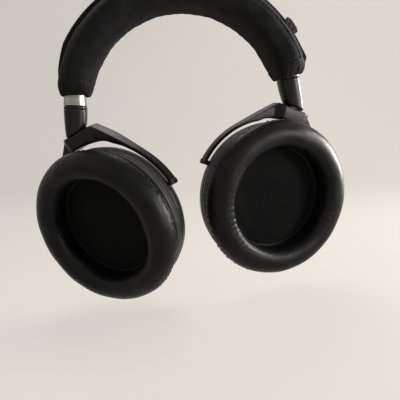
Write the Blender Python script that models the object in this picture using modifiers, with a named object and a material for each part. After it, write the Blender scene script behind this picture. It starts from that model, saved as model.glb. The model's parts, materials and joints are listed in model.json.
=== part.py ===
"""Over-ear headphones with a padded, zip-covered headband, sliding arms, swivelling yokes and tilting cups.

Units are metres, +Z is up and +X is the wearer's side shown on the right. The origin is the middle of the
headband's underside, where the band rests on a head. The cups are turned to face forwards (-Y).
"""
import math

import bmesh
import bpy
from mathutils import Matrix, Vector

# Headband: every layer is an arc about one centre line below the band.
BAND_INNER_RADIUS = 0.0575
COVER_THICKNESS = 0.0245
COVER_WIDTH = 0.0380
COVER_WALL = 0.0013
COVER_HALF_ANGLE = math.radians(79.0)
COVER_END_THICKNESS = 0.0214
COVER_END_WIDTH = 0.0290
COVER_TAPER_ANGLE = math.radians(9.0)
COVER_SQUARENESS = 3.0
PADDING_HALF_ANGLE = math.radians(52.0)
SPRING_THICKNESS = 0.0012
SPRING_WIDTH = 0.0220

# Zip along the top of the cover.
ZIP_HEIGHT = 0.0042
ZIP_THICKNESS = 0.0024
ZIP_HALF_ANGLE = math.radians(70.0)
ZIP_SLIDER_ANGLE = math.radians(56.0)
ZIP_SLIDER_LENGTH = 0.0110
ZIP_SLIDER_WALL = 0.0017
PULL_LENGTH = 0.0090
PULL_WIDTH = 0.0050
PULL_THICKNESS = 0.0010

# Sliding rails: straight oval tubes that leave the cover's ends.
RAIL_SHIFT_OUT = 0.00103
RAIL_SHIFT_UP = 0.00069
RAIL_CHORD_SHARE = 0.3746
RAIL_SQUARENESS = 3.0
RAIL_THICKNESS = 0.0126
RAIL_WIDTH = 0.0156
RAIL_WALL = 0.0014
RAIL_HIDDEN = 0.0060
RAIL_TRAVEL = 0.0200
RAIL_SHOWN_RETRACTED = 0.0015
LEFT_EXTENSION = 0.0070
RIGHT_EXTENSION = 0.0
GUIDE_WALL = 0.0012
GUIDE_INSET = 0.0010

# Arms between the rails and the yokes.
ARM_DROP = 0.0184
ARM_SHIFT = 0.0
ARM_TOP_THICKNESS = 0.0130
ARM_TOP_WIDTH = 0.0160
ARM_END_THICKNESS = 0.0122
ARM_END_WIDTH = 0.0126
ARM_SQUARENESS = 2.6
ARM_RINGS = 8

# Swivel: the axis leans outwards going up, and the cups are turned past facing forwards.
SWIVEL_LEAN = math.radians(22.1)
LEFT_SWIVEL = math.radians(35.4)
RIGHT_SWIVEL = math.radians(15.2)
SWIVEL_PIN_RADIUS = 0.0030
SWIVEL_PIN_IN_YOKE = 0.0055
SWIVEL_PIN_IN_ARM = 0.0075

# Yoke: a flat fork round the cup.
CROWN_RISE = 0.0095
CROWN_HALF_WIDTH = 0.0118
CROWN_DEPTH = 0.0130
CROWN_FOOT_WIDTH = 0.0060
CROWN_CLEARANCE = 0.0012
CROWN_STEP = 0.0008
YOKE_CLEARANCE = 0.0020
YOKE_THICKNESS = 0.0028
YOKE_DEPTH = 0.0070
YOKE_CENTRE_DEPTH = -0.0015
YOKE_BEVEL = 0.0007
PIVOT_HEIGHT = 0.0080
PIVOT_PIN_RADIUS = 0.0016
YOKE_END_DROP = 0.0045

# Cup: turned pieces about the axis through the ear, measured forwards from the swivel axis.
SHELL_RADIUS = 0.0470
SHELL_WALL = 0.0020
TRIM_STEP = 0.0004
TRIM_BACK = 0.0029
TRIM_FRONT = 0.0045
SHELL_FRONT = 0.0110
BAFFLE_BACK = 0.0082
BAFFLE_THICKNESS = 0.0017
FLANGE_WIDTH = 0.0026
FLANGE_THICKNESS = 0.0015
SHOULDER_INSET = 0.0004
SHOULDER_DEPTH = 0.0045
TURN_INSET = 0.0030
TURN_DEPTH = 0.0095
BACK_INSET = 0.0072
BACK_RISE = 0.0010
RIM_INSET = 0.0098
COVER_DISC_INSET = 0.0128
COVER_DISC_BACK = -0.0124
COVER_DISC_THICKNESS = 0.0018
SEAT_WIDTH = 0.0040
FELT_THICKNESS = 0.0012
DRIVER_RADIUS = 0.0203
DRIVER_WALL = 0.0020
DRIVER_DEPTH = 0.0106
DRIVER_FLOOR = 0.0015
DRIVER_STEP = 0.0013
DIAPHRAGM_DROP = 0.0036
DIAPHRAGM_THICKNESS = 0.0007
MAGNET_RADIUS = 0.0125
MAGNET_THICKNESS = 0.0047
PAD_RING_THICKNESS = 0.0012
PAD_RING_OVERLAP = 0.0010
CLOTH_THICKNESS = 0.0008
PAD_OVERHANG = 0.0015
PAD_WIDTH = 0.0165
PAD_HEIGHT = 0.0165
PAD_BASE_INSET = 0.0030
PAD_WRAP = math.radians(39.6)
PAD_FOOT_SHARE = 0.06
PIN_ROOT_INSET = 0.0020
JACK_RADIUS = 0.0034
JACK_BORE = 0.00175
JACK_FLANGE = 0.0009
JACK_INSET = 0.0068
JACK_DEPTH = -0.0018

# Clearance between neighbouring solids, and round divisions.
GAP = 0.0003
OVERCUT = 0.0010
ROUND_STEPS = 40
INSIDE_STEPS = 24
ZIP_SLIDER_STEPS = 4
BAND_STEPS = 28
OVAL_POINTS = 20

BAND_CENTRE_Z = -BAND_INNER_RADIUS
COVER_MID_RADIUS = BAND_INNER_RADIUS + COVER_THICKNESS / 2
COVER_OUTER_RADIUS = BAND_INNER_RADIUS + COVER_THICKNESS
RAIL_EXIT_X = COVER_MID_RADIUS * math.sin(COVER_HALF_ANGLE) + RAIL_SHIFT_OUT
RAIL_EXIT_Z = BAND_CENTRE_Z + COVER_MID_RADIUS * math.cos(COVER_HALF_ANGLE) + RAIL_SHIFT_UP
RAIL_LEAN = math.pi / 2 - COVER_HALF_ANGLE + RAIL_CHORD_SHARE * (RAIL_HIDDEN + RAIL_TRAVEL) / COVER_MID_RADIUS
YOKE_INNER_RADIUS = SHELL_RADIUS + YOKE_CLEARANCE
CROWN_HEIGHT = YOKE_INNER_RADIUS + CROWN_RISE
TRIM_RADIUS = SHELL_RADIUS + TRIM_STEP
COVER_DISC_RADIUS = SHELL_RADIUS - COVER_DISC_INSET
PAD_OUTER_RADIUS = SHELL_RADIUS + PAD_OVERHANG
PAD_HOLE_RADIUS = PAD_OUTER_RADIUS - PAD_WIDTH
PAD_BASE = BAFFLE_BACK + BAFFLE_THICKNESS + GAP + PAD_RING_THICKNESS + GAP


def clear_scene():
    """Start from an empty file."""
    for item in list(bpy.data.objects):
        bpy.data.objects.remove(item, do_unlink=True)


def new_collection(name):
    """Make a collection in the scene."""
    collection = bpy.data.collections.new(name)
    bpy.context.scene.collection.children.link(collection)
    return collection


def make_material(name, colour, roughness, metallic=0.0):
    """Make a Principled material of one colour."""
    material = bpy.data.materials.new(name)
    material.use_nodes = True
    shader = material.node_tree.nodes["Principled BSDF"]
    shader.inputs["Base Color"].default_value = (*colour, 1.0)
    shader.inputs["Roughness"].default_value = roughness
    shader.inputs["Metallic"].default_value = metallic
    return material


def place(item, material, parent=None, matrix=None):
    """Put an object in the parts collection with its material, parent and local placement."""
    PARTS.objects.link(item)
    item.data.materials.append(material)
    item.parent = parent
    if matrix is not None:
        item.matrix_local = matrix
    return item


def add_empty(name, matrix, parent=None):
    """Add an empty that stands on a joint's axis."""
    empty = bpy.data.objects.new(name, None)
    empty.empty_display_size = 0.01
    PARTS.objects.link(empty)
    empty.parent = parent
    empty.matrix_local = matrix
    return empty


def smooth(mesh):
    """Shade a round piece smooth, with its corners kept sharp."""
    mesh.shade_smooth()
    mesh.set_sharp_from_angle(angle=math.radians(35))


def oval(thickness, width, squareness, count=OVAL_POINTS, inset=0.0):
    """Points of a superellipse, anticlockwise, in the plane of its thickness and width."""
    points = []
    for index in range(count):
        angle = 2 * math.pi * index / count
        cosine = math.cos(angle)
        sine = math.sin(angle)
        across = math.copysign(abs(cosine) ** (2 / squareness), cosine) * (thickness / 2 - inset)
        along = math.copysign(abs(sine) ** (2 / squareness), sine) * (width / 2 - inset)
        points.append((across, along))
    return points


def turned(name, profile, material, parent, closed=True, steps=ROUND_STEPS):
    """Turn a profile of (radius, depth) points about the cup's axis; it runs down its outer side."""
    mesh = bpy.data.meshes.new(name)
    edges = [(index, index + 1) for index in range(len(profile) - 1)]
    if closed:
        edges.append((len(profile) - 1, 0))
    mesh.from_pydata([(radius, 0.0, depth) for radius, depth in profile], edges, [])
    item = place(bpy.data.objects.new(name, mesh), material, parent)
    screw = item.modifiers.new("Turn", "SCREW")
    screw.steps = steps
    screw.render_steps = steps
    screw.use_merge_vertices = True
    screw.merge_threshold = 0.00001
    screw.use_smooth_shade = False
    return item


def plate(outer, top, bottom, inner=0.0):
    """Profile of a flat ring, or of a disc where there is no hole."""
    if inner:
        return [(outer, top), (outer, bottom), (inner, bottom), (inner, top)]
    return [(0.0, top), (outer, top), (outer, bottom), (0.0, bottom)]


def disc(name, outer, top, bottom, material, parent, steps=INSIDE_STEPS):
    """A solid disc about the cup's axis."""
    return turned(name, plate(outer, top, bottom), material, parent, False, steps)


def band_solid(name, loop, middle, half_angle, steps, material, parent):
    """Turn a closed loop of (radius, y) points about the band's centre line, capped at both ends."""
    shape = bmesh.new()
    start = middle - half_angle
    corners = [shape.verts.new((radius * math.sin(start), y, radius * math.cos(start))) for radius, y in loop]
    face = shape.faces.new(corners)
    geometry = [face, *face.edges, *face.verts]
    bmesh.ops.spin(shape, geom=geometry, cent=(0, 0, 0), axis=(0, 1, 0),
                   angle=2 * half_angle, steps=steps, use_duplicate=False)
    bmesh.ops.recalc_face_normals(shape, faces=shape.faces)
    mesh = bpy.data.meshes.new(name)
    shape.to_mesh(mesh)
    shape.free()
    smooth(mesh)
    return place(bpy.data.objects.new(name, mesh), material, parent)


def extruded(name, outlines, depth, material, parent, matrix):
    """A flat outline, with any holes, extruded evenly to both sides of its plane."""
    curve = bpy.data.curves.new(name, "CURVE")
    curve.dimensions = "2D"
    curve.fill_mode = "BOTH"
    curve.extrude = depth / 2
    for outline in outlines:
        spline = curve.splines.new("POLY")
        spline.points.add(len(outline) - 1)
        for point, (x, y) in zip(spline.points, outline):
            point.co = (x, y, 0.0, 1.0)
        spline.use_cyclic_u = True
    return place(bpy.data.objects.new(name, curve), material, parent, matrix)


def as_mesh(item):
    """Replace a curve object by a welded mesh object of the same name and place."""
    name = item.name
    bpy.context.view_layer.update()
    mesh = bpy.data.meshes.new_from_object(item.evaluated_get(bpy.context.evaluated_depsgraph_get()))
    shape = bmesh.new()
    shape.from_mesh(mesh)
    bmesh.ops.remove_doubles(shape, verts=shape.verts, dist=0.00001)
    bmesh.ops.recalc_face_normals(shape, faces=shape.faces)
    shape.to_mesh(mesh)
    shape.free()
    parent = item.parent
    matrix = item.matrix_local.copy()
    bpy.data.objects.remove(item, do_unlink=True)
    solid = bpy.data.objects.new(name, mesh)
    mesh.name = name
    PARTS.objects.link(solid)
    solid.parent = parent
    solid.matrix_local = matrix
    return solid


def loft(name, rings, material, parent, capped=True):
    """A surface through rings of matching points, with its two ends closed where it is a solid."""
    shape = bmesh.new()
    rows = [[shape.verts.new(point) for point in ring] for ring in rings]
    for first, second in zip(rows, rows[1:]):
        for index in range(len(first)):
            after = (index + 1) % len(first)
            shape.faces.new((first[index], first[after], second[after], second[index]))
    if capped:
        shape.faces.new(rows[0])
        shape.faces.new(rows[-1])
    bmesh.ops.recalc_face_normals(shape, faces=shape.faces)
    mesh = bpy.data.meshes.new(name)
    shape.to_mesh(mesh)
    shape.free()
    smooth(mesh)
    return place(bpy.data.objects.new(name, mesh), material, parent)


def rod(name, radius, start, end, parent, material=None):
    """A round rod between two points of its parent's frame; with no material it is a cutter."""
    axis = Vector(end) - Vector(start)
    shape = bmesh.new()
    bmesh.ops.create_cone(shape, cap_ends=True, segments=20, radius1=radius, radius2=radius,
                          depth=axis.length)
    mesh = bpy.data.meshes.new(name)
    shape.to_mesh(mesh)
    shape.free()
    smooth(mesh)
    turn = axis.to_track_quat("Z", "Y").to_matrix().to_4x4()
    matrix = Matrix.Translation((Vector(start) + Vector(end)) / 2) @ turn
    item = bpy.data.objects.new(name, mesh)
    if material:
        return place(item, material, parent, matrix)
    PARTS.objects.link(item)
    item.parent = parent
    item.matrix_local = matrix
    return hide_cutter(item)


def hide_cutter(item):
    """Move a shape that only cuts or joins others into the hidden collection."""
    PARTS.objects.unlink(item)
    CUTTERS.objects.link(item)
    item.hide_render = True
    item.display_type = "WIRE"
    return item


def soften(item, width):
    """Round an object's corners a little."""
    bevel = item.modifiers.new("Edges", "BEVEL")
    bevel.width = width
    bevel.segments = 2
    bevel.limit_method = "ANGLE"
    bevel.angle_limit = math.radians(40)


def cut(item, cutter):
    """Cut one solid out of another."""
    boolean = item.modifiers.new("Cut", "BOOLEAN")
    boolean.operation = "DIFFERENCE"
    boolean.solver = "EXACT"
    boolean.object = cutter


def band_section(side):
    """Half of the space inside the cover, above (1) or below (-1) the spring, as (radius, y) points."""
    inset = COVER_WALL + GAP
    half_thickness = COVER_THICKNESS / 2 - inset
    half_width = COVER_WIDTH / 2 - inset
    start = SPRING_THICKNESS / 2 + GAP
    count = OVAL_POINTS // 2
    first = math.asin((start / half_thickness) ** (COVER_SQUARENESS / 2))
    loop = []
    for index in range(count + 1):
        angle = first + (math.pi - 2 * first) * index / count
        across = math.sin(angle) ** (2 / COVER_SQUARENESS) * half_thickness
        along = math.copysign(abs(math.cos(angle)) ** (2 / COVER_SQUARENESS), math.cos(angle)) * half_width
        loop.append((COVER_MID_RADIUS + side * across, along))
    return loop


def build_headband(band):
    """The band's spring, its two paddings and the cloth sleeve round them."""
    spring_inner = COVER_MID_RADIUS - SPRING_THICKNESS / 2
    spring_outer = COVER_MID_RADIUS + SPRING_THICKNESS / 2
    half = SPRING_WIDTH / 2
    strip = [(spring_inner, -half), (spring_outer, -half), (spring_outer, half), (spring_inner, half)]
    band_solid("headband_spring", strip, 0.0, PADDING_HALF_ANGLE, BAND_STEPS, STEEL, band)
    band_solid("lower_padding", band_section(-1), 0.0, PADDING_HALF_ANGLE, BAND_STEPS, FOAM, band)
    band_solid("upper_padding", band_section(1), 0.0, PADDING_HALF_ANGLE, BAND_STEPS, FOAM, band)
    build_cover(band)


def build_cover(band):
    """The cloth sleeve: rings along the band that draw in at both ends, given a wall."""
    rings = []
    for index in range(BAND_STEPS + 1):
        angle = COVER_HALF_ANGLE * (2 * index / BAND_STEPS - 1)
        left_over = max(0.0, abs(angle) - COVER_HALF_ANGLE + COVER_TAPER_ANGLE) / COVER_TAPER_ANGLE
        draw = left_over ** 2
        thickness = COVER_THICKNESS + (COVER_END_THICKNESS - COVER_THICKNESS) * draw
        width = COVER_WIDTH + (COVER_END_WIDTH - COVER_WIDTH) * draw
        ring = []
        for across, along in oval(thickness, width, COVER_SQUARENESS):
            radius = COVER_MID_RADIUS + across
            ring.append((radius * math.sin(angle), along, radius * math.cos(angle)))
        rings.append(ring)
    cover = loft("headband_cover", rings, FABRIC, band, capped=False)
    wall = cover.modifiers.new("Wall", "SOLIDIFY")
    wall.thickness = COVER_WALL
    wall.offset = -1.0
    wall.use_even_offset = True


def build_zip(band, runner):
    """The zip along the top of the cover, and its slider with a pull, on the right."""
    base = COVER_OUTER_RADIUS + GAP
    top = base + ZIP_HEIGHT
    half = ZIP_THICKNESS / 2
    tape = [(base, -half), (top, -half), (top, half), (base, half)]
    band_solid("cover_zip", tape, 0.0, ZIP_HALF_ANGLE, BAND_STEPS, TAPE, band)
    inner = half + GAP
    outer = inner + ZIP_SLIDER_WALL
    foot = base + ZIP_HEIGHT / 4
    roof = top + GAP
    crest = roof + ZIP_SLIDER_WALL
    saddle = [(foot, -outer), (crest, -outer), (crest, outer), (foot, outer), (foot, inner),
              (roof, inner), (roof, -inner), (foot, -inner)]
    half_angle = ZIP_SLIDER_LENGTH / 2 / roof
    band_solid("zip_slider", saddle, ZIP_SLIDER_ANGLE, half_angle, ZIP_SLIDER_STEPS, GUNMETAL, runner)
    low = crest + GAP
    high = low + PULL_THICKNESS
    side = PULL_WIDTH / 2
    leaf = [(low, -side), (high, -side), (high, side), (low, side)]
    band_solid("zip_pull", leaf, ZIP_SLIDER_ANGLE, PULL_LENGTH / 2 / low, ZIP_SLIDER_STEPS, GUNMETAL, runner)


def rail_matrix(side, shown):
    """Frame at the rail's lower end: X across the band, Y forwards, Z up along the rail."""
    along = Vector((-side * math.sin(RAIL_LEAN), 0.0, math.cos(RAIL_LEAN)))
    forward = Vector((0.0, -1.0, 0.0))
    across = forward.cross(along)
    origin = Vector((side * RAIL_EXIT_X, 0.0, RAIL_EXIT_Z)) - along * shown
    matrix = Matrix((across, forward, along)).transposed().to_4x4()
    return Matrix.Translation(origin) @ matrix


def yoke_matrix(side, crown, swivel):
    """Frame at the crown: X along the tilt axis, Y up the swivel axis, Z out of the ear pad."""
    up = Vector((side * math.sin(SWIVEL_LEAN), 0.0, math.cos(SWIVEL_LEAN)))
    forward = Vector((0.0, -1.0, 0.0))
    across = up.cross(forward)
    matrix = Matrix((across, up, forward)).transposed().to_4x4()
    return Matrix.Translation(crown) @ matrix @ Matrix.Rotation(side * swivel, 4, "Y")


def build_guide(name, side):
    """The plastic sleeve inside the cover's end that the rail slides in."""
    length = RAIL_HIDDEN + RAIL_TRAVEL + GAP
    bore = oval(RAIL_THICKNESS, RAIL_WIDTH, RAIL_SQUARENESS, inset=-GAP)
    wall = oval(RAIL_THICKNESS, RAIL_WIDTH, RAIL_SQUARENESS, inset=-GAP - GUIDE_WALL)
    middle = Matrix.Translation((0, 0, GUIDE_INSET + length / 2))
    extruded(f"{name}_slider_guide", [wall, bore], length, BLACK_PLASTIC, None,
             rail_matrix(side, 0.0) @ middle)


def build_arm(name, side, slider, frame, lower):
    """The dark arm, lofted from the rail's end to the swivel joint, with a blind bore for the pin."""
    top = rail_matrix(side, 0.0).to_3x3()
    bottom = yoke_matrix(side, Vector(), 0.0).to_3x3()
    start_along = -top.col[2]
    end_along = -bottom.col[1]
    start = Vector((0.0, 0.0, 0.0)) + start_along * GAP
    end = lower - end_along * GAP
    reach = (end - start).length / 3
    rings = []
    for index in range(ARM_RINGS + 1):
        share = index / ARM_RINGS
        rest = 1 - share
        handle_one = start + start_along * reach
        handle_two = end - end_along * reach
        centre = (start * rest ** 3 + handle_one * (3 * rest ** 2 * share)
                  + handle_two * (3 * rest * share ** 2) + end * share ** 3)
        across = (bottom.col[0] * share - top.col[0] * rest).normalized()
        forward = Vector((0.0, -1.0, 0.0))
        thickness = ARM_TOP_THICKNESS * rest + ARM_END_THICKNESS * share
        width = ARM_TOP_WIDTH * rest + ARM_END_WIDTH * share
        rings.append([centre + across * x + forward * y for x, y in oval(thickness, width, ARM_SQUARENESS)])
    inverse = frame.inverted()
    origin = frame.translation
    local = [[inverse @ (origin + point) for point in ring] for ring in rings]
    arm = loft(f"{name}_arm", local, GUNMETAL, slider)
    bore_start = inverse @ (origin + lower + end_along * OVERCUT)
    bore_end = inverse @ (origin + lower - end_along * (SWIVEL_PIN_IN_ARM + GAP))
    cut(arm, rod(f"{name}_arm_bore", SWIVEL_PIN_RADIUS + GAP, bore_start, bore_end, slider))
    return arm


def yoke_outline():
    """The fork seen along the cup's axis, with its middle at the swivel joint."""
    outer = YOKE_INNER_RADIUS + YOKE_THICKNESS
    peak = Vector((CROWN_HALF_WIDTH - CROWN_STEP, CROWN_HEIGHT - GAP - CROWN_STEP))
    touch = math.atan2(peak.y, peak.x) - math.acos(outer / peak.length)
    foot = math.asin((PIVOT_HEIGHT - YOKE_END_DROP) / outer)
    steps = 10
    right = []
    for index in range(steps + 1):
        angle = foot + (touch - foot) * index / steps
        right.append((outer * math.cos(angle), outer * math.sin(angle)))
    right.append((peak.x, peak.y))
    left = [(-x, y) for x, y in reversed(right)]
    inside = []
    inner_foot = math.asin((PIVOT_HEIGHT - YOKE_END_DROP) / YOKE_INNER_RADIUS)
    inner_steps = 28
    for index in range(inner_steps + 1):
        angle = math.pi - inner_foot - (math.pi - 2 * inner_foot) * index / inner_steps
        inside.append((YOKE_INNER_RADIUS * math.cos(angle), YOKE_INNER_RADIUS * math.sin(angle)))
    return [(x, y - CROWN_HEIGHT) for x, y in right + left + inside]


def crown_outline():
    """The deep block at the top of the fork, clear of the cup below it."""
    foot = CROWN_HALF_WIDTH + CROWN_FOOT_WIDTH
    clear = YOKE_INNER_RADIUS + CROWN_CLEARANCE
    steps = 8
    under = []
    for index in range(steps + 1):
        x = foot * (2 * index / steps - 1)
        under.append((x, math.sqrt(clear ** 2 - x ** 2)))
    peak = CROWN_HEIGHT - GAP
    return [(x, y - CROWN_HEIGHT) for x, y in under + [(CROWN_HALF_WIDTH, peak), (-CROWN_HALF_WIDTH, peak)]]


def build_yoke(name, joint):
    """The fork with its crown, and the pin it swivels on."""
    middle = Matrix.Translation((0, 0, YOKE_CENTRE_DEPTH))
    yoke = as_mesh(extruded(f"{name}_yoke", [yoke_outline()], YOKE_DEPTH, GUNMETAL, joint, middle))
    crown = as_mesh(extruded(f"{name}_crown", [crown_outline()], CROWN_DEPTH, GUNMETAL, joint, middle))
    soften(crown, YOKE_BEVEL)
    hide_cutter(crown)
    join = yoke.modifiers.new("Crown", "BOOLEAN")
    join.operation = "UNION"
    join.solver = "EXACT"
    join.object = crown
    depth = -SWIVEL_PIN_IN_YOKE
    cut(yoke, rod(f"{name}_crown_bore", SWIVEL_PIN_RADIUS + GAP, (0, depth - GAP, 0), (0, OVERCUT, 0), joint))
    height = PIVOT_HEIGHT - CROWN_HEIGHT
    reach = YOKE_INNER_RADIUS + YOKE_THICKNESS + OVERCUT
    across = rod(f"{name}_pivot_bore", PIVOT_PIN_RADIUS + GAP, (-reach, height, YOKE_CENTRE_DEPTH),
                 (reach, height, YOKE_CENTRE_DEPTH), joint)
    cut(yoke, across)
    rod(f"{name}_swivel_pin", SWIVEL_PIN_RADIUS, (0, depth, 0), (0, SWIVEL_PIN_IN_ARM, 0), joint, STEEL)


def pad_profile():
    """Ear cushion: a full crown, sides drawn in to the base seam, flat only at its base."""
    middle = (PAD_OUTER_RADIUS + PAD_HOLE_RADIUS) / 2
    half = (PAD_OUTER_RADIUS - PAD_HOLE_RADIUS) / 2
    base = PAD_BASE
    points = []
    count = 12
    for index in range(count + 1):
        angle = math.pi + PAD_WRAP - (math.pi + 2 * PAD_WRAP) * index / count
        foot = math.sin(PAD_WRAP)
        rise = (math.sin(angle) + foot) / (1 + foot)
        points.append((middle + half * math.cos(angle), base + PAD_HEIGHT * max(rise, PAD_FOOT_SHARE)))
    seat = [(PAD_OUTER_RADIUS - PAD_BASE_INSET, base), (PAD_HOLE_RADIUS + PAD_BASE_INSET, base)]
    return points + seat


def build_outer_shell(name, cup):
    """The dished rear shell with a seat for the cover disc."""
    front = TRIM_BACK - GAP
    lip = COVER_DISC_RADIUS + GAP
    seat = COVER_DISC_BACK + COVER_DISC_THICKNESS + GAP
    radius = SHELL_RADIUS - GAP
    rear = COVER_DISC_BACK + GAP
    inner = radius - SHELL_WALL
    shoulder = front - SHOULDER_DEPTH
    turn = front - TURN_DEPTH
    profile = [(radius, front), (radius - SHOULDER_INSET, shoulder), (radius - TURN_INSET, turn),
               (radius - BACK_INSET, rear + BACK_RISE), (radius - RIM_INSET, rear), (lip, rear), (lip, seat),
               (lip - SEAT_WIDTH, seat), (lip - SEAT_WIDTH, seat + SHELL_WALL),
               (inner - BACK_INSET, seat + SHELL_WALL), (inner - TURN_INSET, turn + SHELL_WALL / 2),
               (inner - SHOULDER_INSET, shoulder), (inner, front)]
    return turned(f"{name}_outer_shell", profile, BLACK_PLASTIC, cup)


def build_cup(name, cup):
    """Everything that tilts in the yoke: shells, driver, pad and pivot pins."""
    shell = build_outer_shell(name, cup)
    pin_depth = YOKE_CENTRE_DEPTH
    reach = YOKE_INNER_RADIUS + YOKE_THICKNESS - GAP
    root = SHELL_RADIUS - SHELL_WALL - PIN_ROOT_INSET
    for label, way in (("inner", -1), ("outer", 1)):
        start = (way * root, PIVOT_HEIGHT, pin_depth)
        end = (way * reach, PIVOT_HEIGHT, pin_depth)
        rod(f"{name}_{label}_pivot_pin", PIVOT_PIN_RADIUS, start, end, cup, STEEL)
    bore = rod(f"{name}_shell_pivot_bore", PIVOT_PIN_RADIUS + GAP, (-reach, PIVOT_HEIGHT, pin_depth),
               (reach, PIVOT_HEIGHT, pin_depth), cup)
    cut(shell, bore)
    disc(f"{name}_outer_cover", COVER_DISC_RADIUS, COVER_DISC_BACK + COVER_DISC_THICKNESS,
         COVER_DISC_BACK, SATIN_BLACK, cup, ROUND_STEPS)
    felt = COVER_DISC_BACK + COVER_DISC_THICKNESS + GAP + SHELL_WALL + GAP
    disc(f"{name}_damping_felt", COVER_DISC_RADIUS, felt + FELT_THICKNESS, felt, FOAM, cup)
    trim_inner = SHELL_RADIUS - SHELL_WALL
    turned(f"{name}_trim_ring", plate(TRIM_RADIUS, TRIM_FRONT, TRIM_BACK, trim_inner), GUNMETAL, cup)
    build_inner_shell(name, cup)
    build_driver(name, cup)
    front = BAFFLE_BACK + BAFFLE_THICKNESS + GAP
    bore_radius = SHELL_RADIUS - SHELL_WALL - GAP
    hole = PAD_HOLE_RADIUS + PAD_RING_OVERLAP
    turned(f"{name}_pad_ring", plate(bore_radius, front + PAD_RING_THICKNESS, front, hole),
           BLACK_PLASTIC, cup, True, INSIDE_STEPS)
    disc(f"{name}_ear_cloth", hole - GAP, front + CLOTH_THICKNESS, front, FABRIC, cup)
    turned(f"{name}_ear_pad", pad_profile(), LEATHER, cup)
    return shell


def build_inner_shell(name, cup):
    """The front shell: a collar with an inside flange that carries the baffle."""
    back = TRIM_FRONT + GAP
    inner = SHELL_RADIUS - SHELL_WALL
    flange_top = BAFFLE_BACK - GAP
    flange_foot = flange_top - FLANGE_THICKNESS
    profile = [(SHELL_RADIUS, SHELL_FRONT), (SHELL_RADIUS, back), (inner, back), (inner, flange_foot),
               (inner - FLANGE_WIDTH, flange_foot), (inner - FLANGE_WIDTH, flange_top), (inner, flange_top),
               (inner, SHELL_FRONT)]
    turned(f"{name}_inner_shell", profile, DARK_PLASTIC, cup)


def build_driver(name, cup):
    """The baffle plate with the speaker that sits in its hole."""
    front = BAFFLE_BACK + BAFFLE_THICKNESS
    outer = SHELL_RADIUS - SHELL_WALL - GAP
    turned(f"{name}_baffle", plate(outer, front, BAFFLE_BACK, DRIVER_RADIUS + GAP), BLACK_PLASTIC, cup,
           True, INSIDE_STEPS)
    top = front - GAP
    floor = top - DRIVER_DEPTH
    wide = DRIVER_RADIUS - DRIVER_WALL
    narrow = wide - DRIVER_STEP
    seat = top - DIAPHRAGM_DROP
    profile = [(DRIVER_RADIUS, top), (DRIVER_RADIUS, floor), (0.0, floor), (0.0, floor + DRIVER_FLOOR),
               (narrow, floor + DRIVER_FLOOR), (narrow, seat), (wide, seat), (wide, top)]
    basket = profile[3:] + profile[:3]
    turned(f"{name}_driver_basket", basket, STEEL, cup, False, INSIDE_STEPS)
    disc(f"{name}_diaphragm", wide - GAP, seat + GAP + DIAPHRAGM_THICKNESS, seat + GAP, FILM, cup)
    disc(f"{name}_magnet", MAGNET_RADIUS, floor - GAP, floor - GAP - MAGNET_THICKNESS, STEEL, cup)


def build_jack(name, cup, shell):
    """The socket for a cable, through the bottom of the shell."""
    face = SHELL_RADIUS - GAP
    inside = SHELL_RADIUS - JACK_INSET
    length = face - inside + JACK_FLANGE
    bore = (0, -face - JACK_FLANGE, JACK_DEPTH)
    cut(shell, rod(f"{name}_jack_hole", JACK_RADIUS + GAP, bore, (0, -inside, JACK_DEPTH), cup))
    rim = JACK_RADIUS + JACK_FLANGE
    profile = [(JACK_RADIUS, length), (JACK_RADIUS, JACK_FLANGE), (rim, JACK_FLANGE), (rim, 0.0),
               (JACK_BORE, 0.0), (JACK_BORE, length)]
    socket = turned(f"{name}_jack_socket", profile, BLACK_PLASTIC, cup, True, INSIDE_STEPS)
    turn = Matrix.Rotation(math.radians(90), 4, "X")
    socket.matrix_local = Matrix.Translation((0, -inside + JACK_FLANGE, JACK_DEPTH)) @ turn
    return socket


def build_side(name, side, extension, swivel):
    """One side: guide, rail, arm, yoke and cup, each on the empty of its joint."""
    shown = RAIL_SHOWN_RETRACTED + extension
    build_guide(name, side)
    frame = rail_matrix(side, shown)
    slider = add_empty(f"{name}_slide", frame)
    length = RAIL_SHOWN_RETRACTED + RAIL_HIDDEN + RAIL_TRAVEL
    wall = oval(RAIL_THICKNESS, RAIL_WIDTH, RAIL_SQUARENESS)
    bore = oval(RAIL_THICKNESS, RAIL_WIDTH, RAIL_SQUARENESS, inset=RAIL_WALL)
    extruded(f"{name}_slider_rail", [wall, bore], length, BRUSHED_STEEL, slider,
             Matrix.Translation((0, 0, length / 2)))
    lower = Vector((side * ARM_SHIFT, 0.0, -ARM_DROP))
    build_arm(name, side, slider, frame, lower)
    crown = frame.translation + lower
    swivel_joint = add_empty(f"{name}_swivel", yoke_matrix(side, crown, swivel))
    build_yoke(name, swivel_joint)
    pivot = Vector((0, PIVOT_HEIGHT, YOKE_CENTRE_DEPTH))
    drop = Vector((0, -CROWN_HEIGHT, 0))
    tilt_joint = add_empty(f"{name}_tilt", Matrix.Translation(drop + pivot), swivel_joint)
    cup = add_empty(f"{name}_cup", Matrix.Translation(-pivot), tilt_joint)
    shell = build_cup(name, cup)
    return cup, shell


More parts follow.
